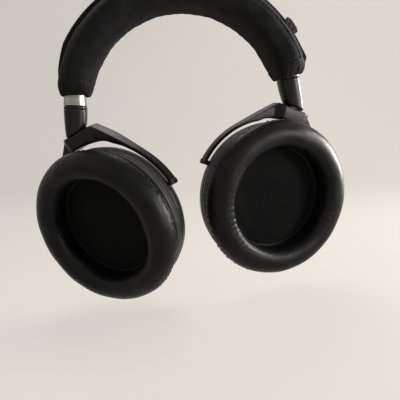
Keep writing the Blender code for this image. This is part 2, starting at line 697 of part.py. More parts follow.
clear_scene()
PARTS = new_collection("over_ear_headphones")
CUTTERS = new_collection("cutters")
FABRIC = make_material("cover_cloth", (0.012, 0.012, 0.013), 0.85)
TAPE = make_material("zip_tape", (0.020, 0.020, 0.020), 0.70)
FOAM = make_material("foam", (0.030, 0.030, 0.032), 0.95)
LEATHER = make_material("soft_leather", (0.012, 0.012, 0.013), 0.45)
GUNMETAL = make_material("dark_metal", (0.035, 0.034, 0.031), 0.42, 0.6)
BRUSHED_STEEL = make_material("brushed_rail", (0.55, 0.54, 0.52), 0.35, 1.0)
STEEL = make_material("steel", (0.45, 0.45, 0.46), 0.35, 1.0)
BLACK_PLASTIC = make_material("black_plastic", (0.018, 0.018, 0.018), 0.50)
DARK_PLASTIC = make_material("dark_plastic", (0.055, 0.055, 0.054), 0.50)
SATIN_BLACK = make_material("satin_black", (0.022, 0.022, 0.022), 0.38)
FILM = make_material("diaphragm_film", (0.30, 0.28, 0.22), 0.40)

band_axis = add_empty("band_axis", Matrix.Translation((0, 0, BAND_CENTRE_Z)))
zip_axis = add_empty("zip_axis", Matrix.Translation((0, 0, BAND_CENTRE_Z)))
build_headband(band_axis)
build_zip(band_axis, zip_axis)
left_cup, left_shell = build_side("left", -1, LEFT_EXTENSION, LEFT_SWIVEL)
right_cup, right_shell = build_side("right", 1, RIGHT_EXTENSION, RIGHT_SWIVEL)
build_jack("left", left_cup, left_shell)
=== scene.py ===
# %% [markdown]
# # Over-ear headphones, dressed over their solids
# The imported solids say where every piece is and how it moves. This lesson lays finished surfaces over them:
# leather cushions, a cloth headband sleeve with a zip, smooth forks and rails, and a finish for each piece.
# Lengths are in metres, +Z is up, and the pads face the camera, which stands on the -Y side.

# %% Load the frame
import json
import math

import bpy
import bmesh
import numpy as np
from mathutils import Matrix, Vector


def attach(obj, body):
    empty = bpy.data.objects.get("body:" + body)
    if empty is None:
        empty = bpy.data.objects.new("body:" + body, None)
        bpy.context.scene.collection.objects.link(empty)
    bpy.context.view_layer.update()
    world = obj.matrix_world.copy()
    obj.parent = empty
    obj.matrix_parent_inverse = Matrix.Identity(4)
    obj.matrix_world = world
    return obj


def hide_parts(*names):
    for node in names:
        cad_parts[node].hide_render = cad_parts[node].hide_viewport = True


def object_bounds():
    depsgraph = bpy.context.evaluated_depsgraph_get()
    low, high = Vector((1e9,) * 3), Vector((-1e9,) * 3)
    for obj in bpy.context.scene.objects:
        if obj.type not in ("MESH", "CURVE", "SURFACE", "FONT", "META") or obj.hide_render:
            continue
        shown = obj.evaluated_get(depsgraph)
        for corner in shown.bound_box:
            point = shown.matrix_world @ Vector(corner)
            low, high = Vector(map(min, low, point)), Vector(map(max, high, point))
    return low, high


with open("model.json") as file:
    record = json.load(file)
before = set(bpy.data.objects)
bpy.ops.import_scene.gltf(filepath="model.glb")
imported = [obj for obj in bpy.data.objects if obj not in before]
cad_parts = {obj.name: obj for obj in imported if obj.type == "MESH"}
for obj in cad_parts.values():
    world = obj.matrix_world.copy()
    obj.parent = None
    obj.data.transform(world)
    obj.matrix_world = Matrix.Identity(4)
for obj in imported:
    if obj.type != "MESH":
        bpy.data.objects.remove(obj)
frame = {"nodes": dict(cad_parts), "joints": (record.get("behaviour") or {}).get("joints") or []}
solid_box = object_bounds()
joints = {joint["name"]: joint for joint in frame["joints"]}
SIDES = ("left", "right")

# %% [markdown]
# ## Camera, floor and light
# The camera was solved from the two round pads, whose outlines are ellipses in the picture. It is written as
# a position and three turns. The backdrop is one curved sweep, so no line shows where the floor ends. The light
# comes from soft lamps, as in a room with a window to the right.

# %% Camera
CAMERA_PLACE = (-0.03196, -0.28332, -0.0750)
CAMERA_TURNS = (math.radians(4.25), math.radians(8.6), math.radians(7.15))
LENS = 38.73
SENSOR = 36.0


def make_camera():
    """World to camera is a turn about Z, then X, then Y, after looking along +Y; the camera has its inverse."""
    ahead = Matrix(((1, 0, 0), (0, 0, 1), (0, -1, 0)))
    turn = (Matrix.Rotation(CAMERA_TURNS[0], 3, "Z") @ Matrix.Rotation(CAMERA_TURNS[1], 3, "X")
            @ Matrix.Rotation(CAMERA_TURNS[2], 3, "Y"))
    data = bpy.data.cameras.new("viewpoint")
    data.lens = LENS
    data.sensor_width = SENSOR
    data.clip_start = 0.01
    camera = bpy.data.objects.new("viewpoint", data)
    bpy.context.scene.collection.objects.link(camera)
    camera.matrix_world = Matrix.Translation(CAMERA_PLACE) @ (turn @ ahead).transposed().to_4x4()
    bpy.context.scene.camera = camera
    return camera


viewpoint = make_camera()
print("camera at", [round(value, 3) for value in viewpoint.location])

# %% Directions, circles and colours


def tone(red, green, blue):
    """Turn screen values of 0 to 255 into the linear colour that a shader takes."""
    value = np.array([red, green, blue]) / 255
    linear = np.where(value <= 0.04045, value / 12.92, ((value + 0.055) / 1.055) ** 2.4)
    return (*linear.tolist(), 1.0)


def unit(vector):
    """The vector with length 1."""
    return vector / np.linalg.norm(vector, axis=-1, keepdims=True)


def once_round(count):
    """Evenly spaced turns round a circle, the first not repeated."""
    return np.linspace(0, 2 * math.pi, count, endpoint=False)


def squared(turn, squareness):
    """A squared circle: cos and sin of the turn raised to 2 / squareness, from -1 to 1 each way."""
    wide = np.sign(np.cos(turn)) * np.abs(np.cos(turn)) ** (2 / squareness)
    tall = np.sign(np.sin(turn)) * np.abs(np.sin(turn)) ** (2 / squareness)
    return wide, tall


def smooth(share):
    """Ease from 0 to 1: 3 s^2 - 2 s^3."""
    share = np.clip(share, 0, 1)
    return share * share * (3 - 2 * share)


print("white is", tone(255, 255, 255))

# %% Surfaces from grids of points


def grid_corners(rows, columns, round_rows, round_columns):
    """Row and column of each face's four corners; a way that closes on itself runs one step past its end."""
    row, column = np.meshgrid(np.arange(rows if round_rows else rows - 1),
                              np.arange(columns if round_columns else columns - 1), indexing="ij")
    corner_row = np.stack([row, row, row + 1, row + 1], -1).reshape(-1, 4)
    corner_column = np.stack([column, column + 1, column + 1, column], -1).reshape(-1, 4)
    return corner_row, corner_column


def weld(mesh, turn_out=False):
    """Merge points that meet at a pole or a seam, and turn the faces of each closed shape outwards if asked."""
    shape = bmesh.new()
    shape.from_mesh(mesh)
    bmesh.ops.remove_doubles(shape, verts=shape.verts, dist=1e-7)
    bmesh.ops.dissolve_degenerate(shape, edges=shape.edges, dist=1e-8)
    if turn_out:
        bmesh.ops.recalc_face_normals(shape, faces=shape.faces)
    shape.to_mesh(mesh)
    shape.free()


def new_piece(name, mesh):
    """A smooth-shaded object for a mesh, in the scene."""
    mesh.shade_smooth()
    piece = bpy.data.objects.new(name, mesh)
    bpy.context.scene.collection.objects.link(piece)
    return piece


def surface(name, points, round_columns=True, round_rows=False):
    """Mesh of points[row, column]: each face joins a point, its right neighbour and the two below them.
    Columns or rows may close on themselves, and a closed shape that holds a negative volume is turned out."""
    rows, columns = points.shape[:2]
    corner_row, corner_column = grid_corners(rows, columns, round_rows, round_columns)
    faces = (corner_row % rows) * columns + corner_column % columns
    spread = np.stack([corner_column / columns, corner_row / rows], -1)
    flat = points.reshape(-1, 3)
    centred = flat - flat.mean(0)
    one, two, three, four = (centred[faces[:, index]] for index in range(4))
    volume = (one * np.cross(two, three)).sum() + (one * np.cross(three, four)).sum()
    if volume < 0:
        faces = faces[:, ::-1]
        spread = spread[:, ::-1]
    mesh = bpy.data.meshes.new(name)
    mesh.from_pydata(flat.tolist(), [], faces.tolist())
    layer = mesh.uv_layers.new(name="surface")
    layer.data.foreach_set("uv", np.ascontiguousarray(spread).reshape(-1).astype(np.float32))
    weld(mesh)
    return new_piece(name, mesh)


def many(name, points):
    """Several closed grids in one mesh: points[item, row, column], each with round columns and welded end rows."""
    items, rows, columns = points.shape[:3]
    corner_row, corner_column = grid_corners(rows, columns, False, True)
    one = corner_row * columns + corner_column % columns
    faces = (one[None] + (np.arange(items) * rows * columns)[:, None, None]).reshape(-1, 4)
    mesh = bpy.data.meshes.new(name)
    mesh.from_pydata(points.reshape(-1, 3).tolist(), [], faces.tolist())
    weld(mesh, turn_out=True)
    return new_piece(name, mesh)


def points_of(mesh, kind="co"):
    """A mesh's points, or their normals, one to a row."""
    flat = np.zeros(len(mesh.vertices) * 3)
    mesh.vertices.foreach_get(kind, flat)
    return flat.reshape(-1, 3)


def move_points(mesh, place):
    """Put a mesh's points at new places."""
    mesh.vertices.foreach_set("co", place.reshape(-1))
    mesh.update()


def tell(piece):
    """Print a piece's name and its number of faces."""
    print(piece.name, "has", len(piece.data.polygons), "faces")


print("3 by 4 points make", len(grid_corners(3, 4, False, False)[0]), "faces")

# %% Floor and backdrop
FLOOR = solid_box[0][2] - 0.012
SWEEP_WIDTH = 3.0
SWEEP_NEAR = -0.45
SWEEP_BEND = 0.5


def make_sweep():
    """Extrude a line across: floor, then a quarter circle, then a wall, as depth and height along one length."""
    length = np.linspace(0, 1, 60)[:, None]
    turn = np.clip((length - 0.4) / 0.3, 0, 1) * math.pi / 2
    across = np.linspace(-SWEEP_WIDTH / 2, SWEEP_WIDTH / 2, 12)
    depth = SWEEP_NEAR + np.clip(length, 0, 0.4) * 3.1 + SWEEP_BEND * np.sin(turn)
    height = FLOOR + SWEEP_BEND * (1 - np.cos(turn)) + np.clip(length - 0.7, 0, 1) * 5
    return surface("backdrop", np.stack(np.broadcast_arrays(across, depth, height), -1), round_columns=False)


backdrop = make_sweep()
print("floor at", round(FLOOR, 4))

# %% Lamps
MIDDLE = (0.0, 0.0, -0.09)
WARM = (1.0, 0.985, 0.96)
NARROW = 80


def add_lamp(name, place, size, power, colour=(1.0, 1.0, 1.0), spread=180):
    """A square area lamp that shines at the middle of the object, in a beam as wide as the spread."""
    data = bpy.data.lights.new(name, "AREA")
    data.size = size
    data.spread = math.radians(spread)
    data.energy = power
    data.color = colour
    lamp = bpy.data.objects.new(name, data)
    bpy.context.scene.collection.objects.link(lamp)
    lamp.location = place
    aim = Matrix.Translation(MIDDLE).translation - lamp.location
    lamp.rotation_euler = aim.to_track_quat("-Z", "Y").to_euler()


add_lamp("window", (0.80, 0.10, 0.0), 0.35, 4.0, WARM, NARROW)
add_lamp("side", (0.66, -0.50, -0.02), 0.28, 1.0, WARM, NARROW)
add_lamp("front", (0.30, -0.85, 0.45), 0.9, 1.5)
add_lamp("fill", (-0.80, -0.45, 0.45), 0.8, 0.8)
add_lamp("rear", (-0.05, 0.40, 0.75), 0.5, 5.0)
bpy.context.scene.view_settings.view_transform = "Standard"
print("lamps set:", len(bpy.data.lights))

# %% [markdown]
# ## Finishes
# Each finish is a Principled shader with a pattern from noise or cells. Patterns read Object coordinates in
# metres, so a scale of 1000 repeats about every millimetre. Woven and brushed finishes read the UV map
# instead, because their threads and scratches follow the surface.

# %% A small kit for shader nodes


def new_finish(name, roughness, metallic=0.0, gloss=0.3):
    """A material with a Principled shader, its constants set on the shader's own sockets."""
    material = bpy.data.materials.new(name)
    material.use_nodes = True
    shader = material.node_tree.nodes["Principled BSDF"]
    shader.inputs["Roughness"].default_value = roughness
    shader.inputs["Metallic"].default_value = metallic
    shader.inputs["Specular IOR Level"].default_value = gloss
    return material


def plug(owner, value, socket):
    """Join another node's output to a socket, or set the socket's constant."""
    if isinstance(value, bpy.types.NodeSocket):
        owner.node_tree.links.new(value, socket)
    else:
        socket.default_value = value


def add_node(owner, kind, settings=None, **sockets):
    """Add a node, set its properties, then its sockets."""
    node = owner.node_tree.nodes.new(kind)
    for key, value in (settings or {}).items():
        setattr(node, key, value)
    for key, value in sockets.items():
        plug(owner, value, node.inputs[key.replace("_", " ")])
    return node


def feed(material, **sockets):
    """Join outputs to the Principled shader's sockets."""
    shader = material.node_tree.nodes["Principled BSDF"]
    for key, value in sockets.items():
        plug(material, value, shader.inputs[key.replace("_", " ")])


def stretched(material, source="Object", scale=(1.0, 1.0, 1.0)):
    """Object or UV coordinates, stretched by a Mapping node."""
    where = add_node(material, "ShaderNodeTexCoord")
    return add_node(material, "ShaderNodeMapping", Vector=where.outputs[source], Scale=scale).outputs["Vector"]


def noise(material, where, scale, detail=3.0, rough=0.55):
    """Noise of 0 to 1 at a place."""
    node = add_node(material, "ShaderNodeTexNoise", Vector=where, Scale=scale, Detail=detail, Roughness=rough)
    return node.outputs["Fac"]


def ramp(material, value, low, high, start=0.35, end=0.65):
    """Two colours, or two greys for a roughness, blended as a value passes from start to end."""
    node = add_node(material, "ShaderNodeValToRGB", Fac=value)
    for stop, position, colour in zip(node.color_ramp.elements, (start, end), (low, high)):
        stop.position = position
        stop.color = colour if isinstance(colour, tuple) else (colour, colour, colour, 1.0)
    return node.outputs["Color"]


def bump(material, height, depth, strength=1.0, under=None):
    """Relief from a height pattern; depth is in metres, and one relief may lie on another."""
    node = add_node(material, "ShaderNodeBump", Height=height, Distance=depth, Strength=strength)
    if under is not None:
        plug(material, under, node.inputs["Normal"])
    return node.outputs["Normal"]


def combine(owner, operation, first, second):
    """Two values joined by arithmetic."""
    node = add_node(owner, "ShaderNodeMath", {"operation": operation})
    plug(owner, first, node.inputs[0])
    plug(owner, second, node.inputs[1])
    return node.outputs["Value"]


def blend_colours(material, share, first, second):
    """From one colour to another as the share goes from 0 to 1. Sockets 6 and 7 of the node are its colours."""
    node = add_node(material, "ShaderNodeMix", {"data_type": "RGBA"}, Factor=share)
    plug(material, first, node.inputs[6])
    plug(material, second, node.inputs[7])
    return node.outputs[2]


def blend_shaders(owner, share, first, second, output):
    """From one shader to another as the share goes from 0 to 1, joined to the owner's output node."""
    node = add_node(owner, "ShaderNodeMixShader", Fac=share)
    plug(owner, first, node.inputs[1])
    plug(owner, second, node.inputs[2])
    plug(owner, node.outputs["Shader"], owner.node_tree.nodes[output].inputs["Surface"])


# %% Room light and backdrop paper
ROOM_STRENGTH = 0.20
PAPER_GLOW = 1.08
GLOW_SHARE = 0.78


def in_sight(owner):
    """1 for rays from the camera, and for those that a shiny or clear surface sends on; 0 for lighting rays."""
    path = add_node(owner, "ShaderNodeLightPath").outputs
    seen = path["Is Camera Ray"]
    for kind in ("Is Glossy Ray", "Is Transmission Ray"):
        seen = combine(owner, "MAXIMUM", seen, path[kind])
    return seen


def make_room():
    """Soft light from all round, and a pale wall where the room itself is in sight."""
    room = bpy.data.worlds.new("room")
    room.use_nodes = True
    light = room.node_tree.nodes["Background"]
    light.inputs["Color"].default_value = tone(232, 230, 226)
    light.inputs["Strength"].default_value = ROOM_STRENGTH
    wall = add_node(room, "ShaderNodeBackground", Color=tone(222, 217, 210), Strength=1.0)
    blend_shaders(room, in_sight(room), light.outputs["Background"], wall.outputs["Background"], "World Output")
    return room


def make_paper():
    """Pale paper: a diffuse skin that takes shadows, and for rays that see it, mostly an even glow. Its colour has
    painted light: it is brighter to the right, where the window is."""
    material = new_finish("pale_paper", 0.9)
    place = stretched(material)
    sideways = add_node(material, "ShaderNodeSeparateXYZ", Vector=place).outputs["X"]
    grey = ramp(material, noise(material, place, 2.0), tone(203, 199, 192), tone(208, 204, 198))
    # Painted light: the paper's colour is made brighter to the right, as if the window lit it.
    across = add_node(material, "ShaderNodeMapRange", Value=sideways, From_Min=-0.6, From_Max=0.6)
    paper_with_painted_light = blend_colours(material, across.outputs["Result"], grey, tone(232, 225, 217))
    feed(material, Base_Color=paper_with_painted_light)
    skin = material.node_tree.nodes["Principled BSDF"].outputs["BSDF"]
    glow = add_node(material, "ShaderNodeEmission", Color=paper_with_painted_light, Strength=PAPER_GLOW).outputs["Emission"]
    share = combine(material, "MULTIPLY", in_sight(material), GLOW_SHARE)
    blend_shaders(material, share, skin, glow, "Material Output")
    return material


bpy.context.scene.world = make_room()
backdrop.data.materials.append(make_paper())
print("room and paper set")

# %% Soft black leather


def make_leather(name, dark, light):
    """Cells a little under a millimetre for the grain, finer noise inside them, and slow changes of colour."""
    material = new_finish(name, 0.36, gloss=0.12)
    place = stretched(material)
    cells = add_node(material, "ShaderNodeTexVoronoi", {"feature": "DISTANCE_TO_EDGE"}, Vector=place, Scale=1150.0)
    creases = ramp(material, cells.outputs["Distance"], 0.0, 1.0, 0.0, 0.18)
    grain = bump(material, creases, 0.00006, 0.45)
    pores = bump(material, noise(material, place, 2600.0), 0.00003, 0.5, grain)
    slow = noise(material, place, 55.0)
    feed(material, Base_Color=ramp(material, slow, dark, light), Normal=pores)
    feed(material, Roughness=ramp(material, noise(material, place, 140.0), 0.30, 0.42))
    return material


leather = make_leather("pad_leather", tone(8, 8, 9), tone(14, 14, 14))
print("leather nodes:", len(leather.node_tree.nodes))

# %% Woven cloth
ONE_WAVE = 0.314


def make_cloth(name, dark, light, threads, depth=0.00012):
    """Warp and weft as two sine waves at right angles, one to a thread; the higher of the two shows at each point."""
    material = new_finish(name, 0.85, gloss=0.12)
    place = stretched(material, "UV", (*threads, 1.0))
    warp, weft = (add_node(material, "ShaderNodeTexWave", {"bands_direction": way}, Vector=place, Scale=ONE_WAVE)
                  for way in "XY")
    weave = combine(material, "MAXIMUM", warp.outputs["Fac"], weft.outputs["Fac"])
    spot = stretched(material)
    fuzz = bump(material, noise(material, spot, 900.0), 0.00010, 0.5)
    feed(material, Normal=bump(material, weave, depth, 0.7, fuzz))
    feed(material, Base_Color=ramp(material, noise(material, spot, 120.0, 5.0), dark, light))
    return material


sleeve_cloth = make_cloth("sleeve_cloth", tone(14, 14, 15), tone(26, 26, 26), (170.0, 300.0))
tape_cloth = make_cloth("zip_tape_cloth", tone(24, 24, 23), tone(38, 38, 36), (16.0, 260.0), 0.00018)
ear_mesh = make_cloth("ear_mesh", tone(4, 4, 5), tone(9, 9, 9), (260.0, 60.0), 0.00016)
print("cloth nodes:", len(sleeve_cloth.node_tree.nodes))

# %% Dark metal and brushed steel


def make_metal(name, dark, light, roughness, metallic, streaks=None, gloss=0.3):
    """Fine noise in colour and roughness; with streaks, the noise is drawn out along one way of the UV map.
    Corners, where the surface points outwards sharply, are rubbed a little brighter."""
    material = new_finish(name, roughness, metallic, gloss)
    if streaks:
        grain = noise(material, stretched(material, "UV", (*streaks, 1.0)), 1.0, 4.0, 0.7)
    else:
        grain = noise(material, stretched(material), 1500.0)
    rubbed = add_node(material, "ShaderNodeNewGeometry").outputs["Pointiness"]
    edge = ramp(material, rubbed, 0.0, 0.35, 0.52, 0.60)
    bright = tuple(min(1.0, value * 1.9 + 0.02) for value in light[:3]) + (1.0,)
    worn = blend_colours(material, edge, ramp(material, grain, dark, light), bright)
    feed(material, Base_Color=worn, Normal=bump(material, grain, 0.00002, 0.25))
    feed(material, Roughness=ramp(material, grain, roughness - 0.06, roughness + 0.06))
    return material


gunmetal = make_metal("gunmetal", tone(17, 16, 15), tone(23, 22, 20), 0.34, 0.2, gloss=0.18)
arm_metal = make_metal("arm_metal", tone(32, 31, 30), tone(40, 39, 37), 0.32, 0.85, (40.0, 2.0))
rail_steel = make_metal("rail_steel", tone(118, 116, 112), tone(152, 149, 145), 0.36, 0.95, (2.0, 240.0))
ring_metal = make_metal("ring_metal", tone(58, 57, 54), tone(72, 71, 67), 0.30, 0.85, (1.0, 30.0))
pin_steel = make_metal("pin_steel", tone(150, 150, 150), tone(178, 178, 178), 0.32, 1.0)
runner_metal = make_metal("runner_metal", tone(26, 26, 22), tone(36, 36, 31), 0.45, 0.3)
print("metal nodes:", len(gunmetal.node_tree.nodes))

# %% Moulded plastics, foam, film and thread


def make_plastic(name, dark, light, roughness, grain=1800.0, depth=0.00004):
    """A moulded skin: fine sparkle from small noise, and slow changes of colour and gloss."""
    material = new_finish(name, roughness)
    place = stretched(material)
    feed(material, Base_Color=ramp(material, noise(material, place, 70.0), dark, light))
    feed(material, Normal=bump(material, noise(material, place, grain), depth, 0.5))
    feed(material, Roughness=ramp(material, noise(material, place, 160.0), roughness - 0.05, roughness + 0.05))
    return material


shell_plastic = make_plastic("shell_plastic", tone(40, 40, 39), tone(50, 50, 48), 0.31)
collar_plastic = make_plastic("collar_plastic", tone(52, 52, 50), tone(62, 62, 60), 0.40)
inner_plastic = make_plastic("inner_plastic", tone(20, 20, 20), tone(28, 28, 28), 0.55)
cover_plastic = make_plastic("cover_plastic", tone(30, 30, 30), tone(38, 38, 38), 0.34)
teeth_plastic = make_plastic("teeth_plastic", tone(34, 34, 33), tone(44, 44, 42), 0.35)
grey_foam = make_plastic("grey_foam", tone(44, 44, 44), tone(62, 62, 62), 0.95, 900.0, 0.0004)
film = make_plastic("driver_film", tone(92, 88, 74), tone(112, 108, 92), 0.35)
thread = make_plastic("sewing_thread", tone(44, 43, 42), tone(58, 57, 55), 0.6, 3000.0)
print("finishes made:", len(bpy.data.materials))

# %% Finishes for the solids that stay


def dress(node, material):
    """Give a solid that stays its finish."""
    data = frame["nodes"][node].data
    data.materials.clear()
    data.materials.append(material)


KEPT = {"swivel_pin": pin_steel, "inner_pivot_pin": gunmetal, "outer_pivot_pin": gunmetal, "magnet": pin_steel,
        "damping_felt": grey_foam, "baffle": inner_plastic, "driver_basket": inner_plastic, "diaphragm": film,
        "pad_ring": inner_plastic}
dress("headband_spring", pin_steel)
dress("left_jack_socket", shell_plastic)
for side in SIDES:
    for part, material in KEPT.items():
        dress(f"{side}_{part}", material)
print("solids dressed:", 2 + 2 * len(KEPT))

# %% [markdown]
# ## Where each cup is
# A cup turns on two axes: the swivel under the arm and the tilt pins at the fork's ends. Those two axes and
# their cross product make the cup's own frame: across, up, and out of the pad. Each round piece is drawn in
# that frame and then carried into place.

# %% Cup frames
PIVOT_HEIGHT = 0.0080
PIVOT_DEPTH = -0.0015


def swivel_axis(side):
    """The way up a fork's swivel."""
    return unit(np.array(joints[f"{side}_swivel"]["axis"]) * (1 if side == "left" else -1))


def cup_frame(side):
    """Centre of a cup and its three unit directions, from the tilt and swivel joints."""
    tilt = joints[f"{side}_tilt"]
    across = unit(np.array(tilt["axis"]))
    up = swivel_axis(side)
    out = np.cross(across, up)
    centre = np.array(tilt["pos_m"]) - up * PIVOT_HEIGHT - out * PIVOT_DEPTH
    return centre, np.stack([across, up, out])


def on_cup(side, local):
    """Carry points from a cup's frame into place: centre plus each coordinate along its direction."""
    centre, directions = cup_frame(side)
    return centre + local @ directions


def in_cup(side, place):
    """Carry points from their place back into a cup's frame."""
    centre, directions = cup_frame(side)
    return (place - centre) @ directions.T


def polar(radius, angle, depth):
    """Points in a cup's frame: across = radius cos angle, up = radius sin angle, out = depth."""
    return np.stack(np.broadcast_arrays(radius * np.cos(angle), radius * np.sin(angle), depth), -1)


def rounded(profile, corner, closed=True):
    """Replace each corner of an outline by a curve: (1-t)^2 before + 2t(1-t) corner + t^2 after."""
    points = np.array(profile)
    before = np.roll(points, 1, 0) - points
    after = np.roll(points, -1, 0) - points
    before_length = np.linalg.norm(before, axis=1, keepdims=True)
    after_length = np.linalg.norm(after, axis=1, keepdims=True)
    start = points + before / before_length * np.minimum(corner, before_length * 0.45)
    end = points + after / after_length * np.minimum(corner, after_length * 0.45)
    share = np.linspace(0, 1, 5)[None, :, None]
    curve = (1 - share) ** 2 * start[:, None] + 2 * share * (1 - share) * points[:, None] + share ** 2 * end[:, None]
    if not closed:
        curve[0] = points[0]
        curve[-1] = points[-1]
    return curve.reshape(-1, 2)


def turned(side, name, profile, steps=180, closed=True):
    """Turn an outline of radius and depth about a cup's axis."""
    radius, depth = np.array(profile).T[..., None]
    return surface(f"{side}_{name}", on_cup(side, polar(radius, once_round(steps), depth)), round_rows=closed)


def settle(piece, body, node, material, sharp=None):
    """Ride a piece on its body, let it stand for its solid, give it its finish, and keep its edges that turn by
    more than the sharp angle, in degrees, crisp."""
    piece.data.materials.clear()
    piece.data.materials.append(material)
    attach(piece, body)
    if node:
        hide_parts(node)
    if sharp:
        piece.data.set_sharp_from_angle(angle=math.radians(sharp))
    return piece


for side in SIDES:
    print(side, "cup centre:", np.round(cup_frame(side)[0], 4))

# %% [markdown]
# ## Cup shells
# A cup is two plastic shells that meet at a thin metal ring. The rear one is dished and carries a flat disc.
# They could be cylinders with bevels, but a turned outline gives every step, groove and rounded rim at once.

# %% Shells, trim and disc
REAR_SHELL = [(0.0474, 0.0026), (0.0469, -0.0019), (0.0440, -0.0069), (0.0395, -0.0111), (0.0369, -0.0121),
              (0.0345, -0.0121), (0.0345, -0.0103), (0.0305, -0.0103), (0.0305, -0.0083), (0.0377, -0.0083),
              (0.0417, -0.0059), (0.0441, -0.0019), (0.0447, 0.0026)]
COLLAR = [(0.0470, 0.0110), (0.0474, 0.0094), (0.0478, 0.0085), (0.0470, 0.0081), (0.0470, 0.0075),
          (0.0478, 0.0071), (0.0478, 0.0048), (0.0450, 0.0048), (0.0450, 0.0064), (0.0424, 0.0064),
          (0.0424, 0.0079), (0.0450, 0.0079), (0.0450, 0.0110)]
SEAM_RING = [(0.0480, 0.0045), (0.0480, 0.0029), (0.0450, 0.0029), (0.0450, 0.0045)]
COVER_DISC = [(0.0, -0.0106), (0.0342, -0.0106), (0.0342, -0.0124), (0.0300, -0.0124), (0.0297, -0.0121),
              (0.0292, -0.0121), (0.0289, -0.0124), (0.0, -0.0124)]


def make_shell(side, name, node, outline, corner, material):
    """Turn an outline with rounded corners. One that starts on the axis isn't closed into a ring."""
    closed = outline[0][0] > 0
    piece = turned(side, name, rounded(outline, corner, closed), closed=closed)
    return settle(piece, f"{side}_cup", f"{side}_{node}", material)


for side in SIDES:
    tell(make_shell(side, "rear_shell", "outer_shell", REAR_SHELL, 0.0012, shell_plastic))
    tell(make_shell(side, "front_collar", "inner_shell", COLLAR, 0.0004, collar_plastic))
    tell(make_shell(side, "seam_ring", "trim_ring", SEAM_RING, 0.0006, ring_metal))
    tell(make_shell(side, "cover_disc", "outer_cover", COVER_DISC, 0.0005, cover_plastic))

# %% [markdown]
# ## Ear cushions
# An ear pad is a leather tube over a foam ring, sewn to a backing plate. Blown up as cloth, its skin goes full
# and tight, and the leather gathers in small folds where it turns into the hole. So the pad starts as a ring a
# little too small, is inflated by a short cloth simulation with its base held, smoothed, and then folded.

# %% Pad blank
PAD_OUTER = 0.0494
PAD_HOLE = 0.0320
PAD_MIDDLE = (PAD_OUTER + PAD_HOLE) / 2
PAD_BASE = 0.0117
PAD_HEIGHT = 0.0165
PAD_TUCK = 0.0022
PAD_HELD = 0.0008
PAD_STEPS = 168
PAD_CROWN_POINTS = 24
PAD_BASE_POINTS = 8
SEAM_HEIGHT = 0.24


def pad_outline():
    """Round crown: middle + half cos a, base + height (sin a + 0.64) / 1.64, closed by the flat base."""
    half = (PAD_OUTER - PAD_HOLE) / 2
    angle = np.linspace(1.20, -0.20, PAD_CROWN_POINTS) * math.pi
    radius = PAD_MIDDLE + half * np.cos(angle)
    depth = PAD_BASE + PAD_HEIGHT * np.maximum((np.sin(angle) + 0.64) / 1.64, 0.03)
    base_radius = np.linspace(PAD_OUTER - PAD_TUCK, PAD_HOLE + PAD_TUCK, PAD_BASE_POINTS)
    base = np.stack([base_radius, np.full(PAD_BASE_POINTS, PAD_BASE)], -1)
    return np.concatenate([np.stack([radius, depth], -1), base])


print("pad outline points:", len(pad_outline()))

# %% Blowing up and smoothing
SWELL_FRAMES = 20
SWELL_MOST = 0.0012
SMOOTHING = 6


def blow_up(piece):
    """Run the pad as cloth under pressure, with its base held, and return where its points end."""
    cloth = piece.modifiers.new("Inflate", "CLOTH")
    settings = cloth.settings
    settings.quality = 6
    settings.mass = 0.0004
    settings.use_pressure = True
    settings.uniform_pressure_force = 4.0
    settings.effector_weights.gravity = 0.0
    settings.shrink_min = -0.05
    settings.vertex_group_mass = "seat"
    scene = bpy.context.scene
    for step in range(1, SWELL_FRAMES + 1):
        scene.frame_set(step)
    blown = piece.evaluated_get(bpy.context.evaluated_depsgraph_get())
    end = points_of(blown.to_mesh())
    blown.to_mesh_clear()
    piece.modifiers.remove(cloth)
    scene.frame_set(1)
    return end


def swell(piece):
    """Keep each point's move: most tanh(length / most) long, so never longer than most, and averaged with its
    neighbours' a few times, so that the leather has no sharp creases. Points that were held stay."""
    mesh = piece.data
    start = points_of(mesh)
    move = blow_up(piece) - start
    length = np.linalg.norm(move, axis=1, keepdims=True)
    move = move * SWELL_MOST * np.tanh(length / SWELL_MOST) / np.maximum(length, 1e-9)
    ends = np.zeros(len(mesh.edges) * 2, dtype=int)
    mesh.edges.foreach_get("vertices", ends)
    links = np.bincount(ends, minlength=len(start))[:, None]
    for _ in range(SMOOTHING):
        around = np.zeros_like(move)
        np.add.at(around, ends[0::2], move[ends[1::2]])
        np.add.at(around, ends[1::2], move[ends[0::2]])
        move = np.where(length < 1e-7, 0.0, (move + around / links) / 2)
    move_points(mesh, start + move)
    return float(length.max()), float(length.mean())


print("a point of a pad moves at most", SWELL_MOST)

# %% Folds and seams on the leather
FOLD_DEPTH = 0.00013
DENT_DEPTH = 0.00020
GROOVE_DEPTH = 0.0009
PUCKER_DEPTH = 0.00020


def subdivide(piece, levels):
    """Apply a subdivision surface, so the folds have points to move."""
    modifier = piece.modifiers.new("Finer", "SUBSURF")
    modifier.levels = levels
    modifier.render_levels = levels
    fine = bpy.data.meshes.new_from_object(piece.evaluated_get(bpy.context.evaluated_depsgraph_get()))
    piece.modifiers.clear()
    piece.data = fine


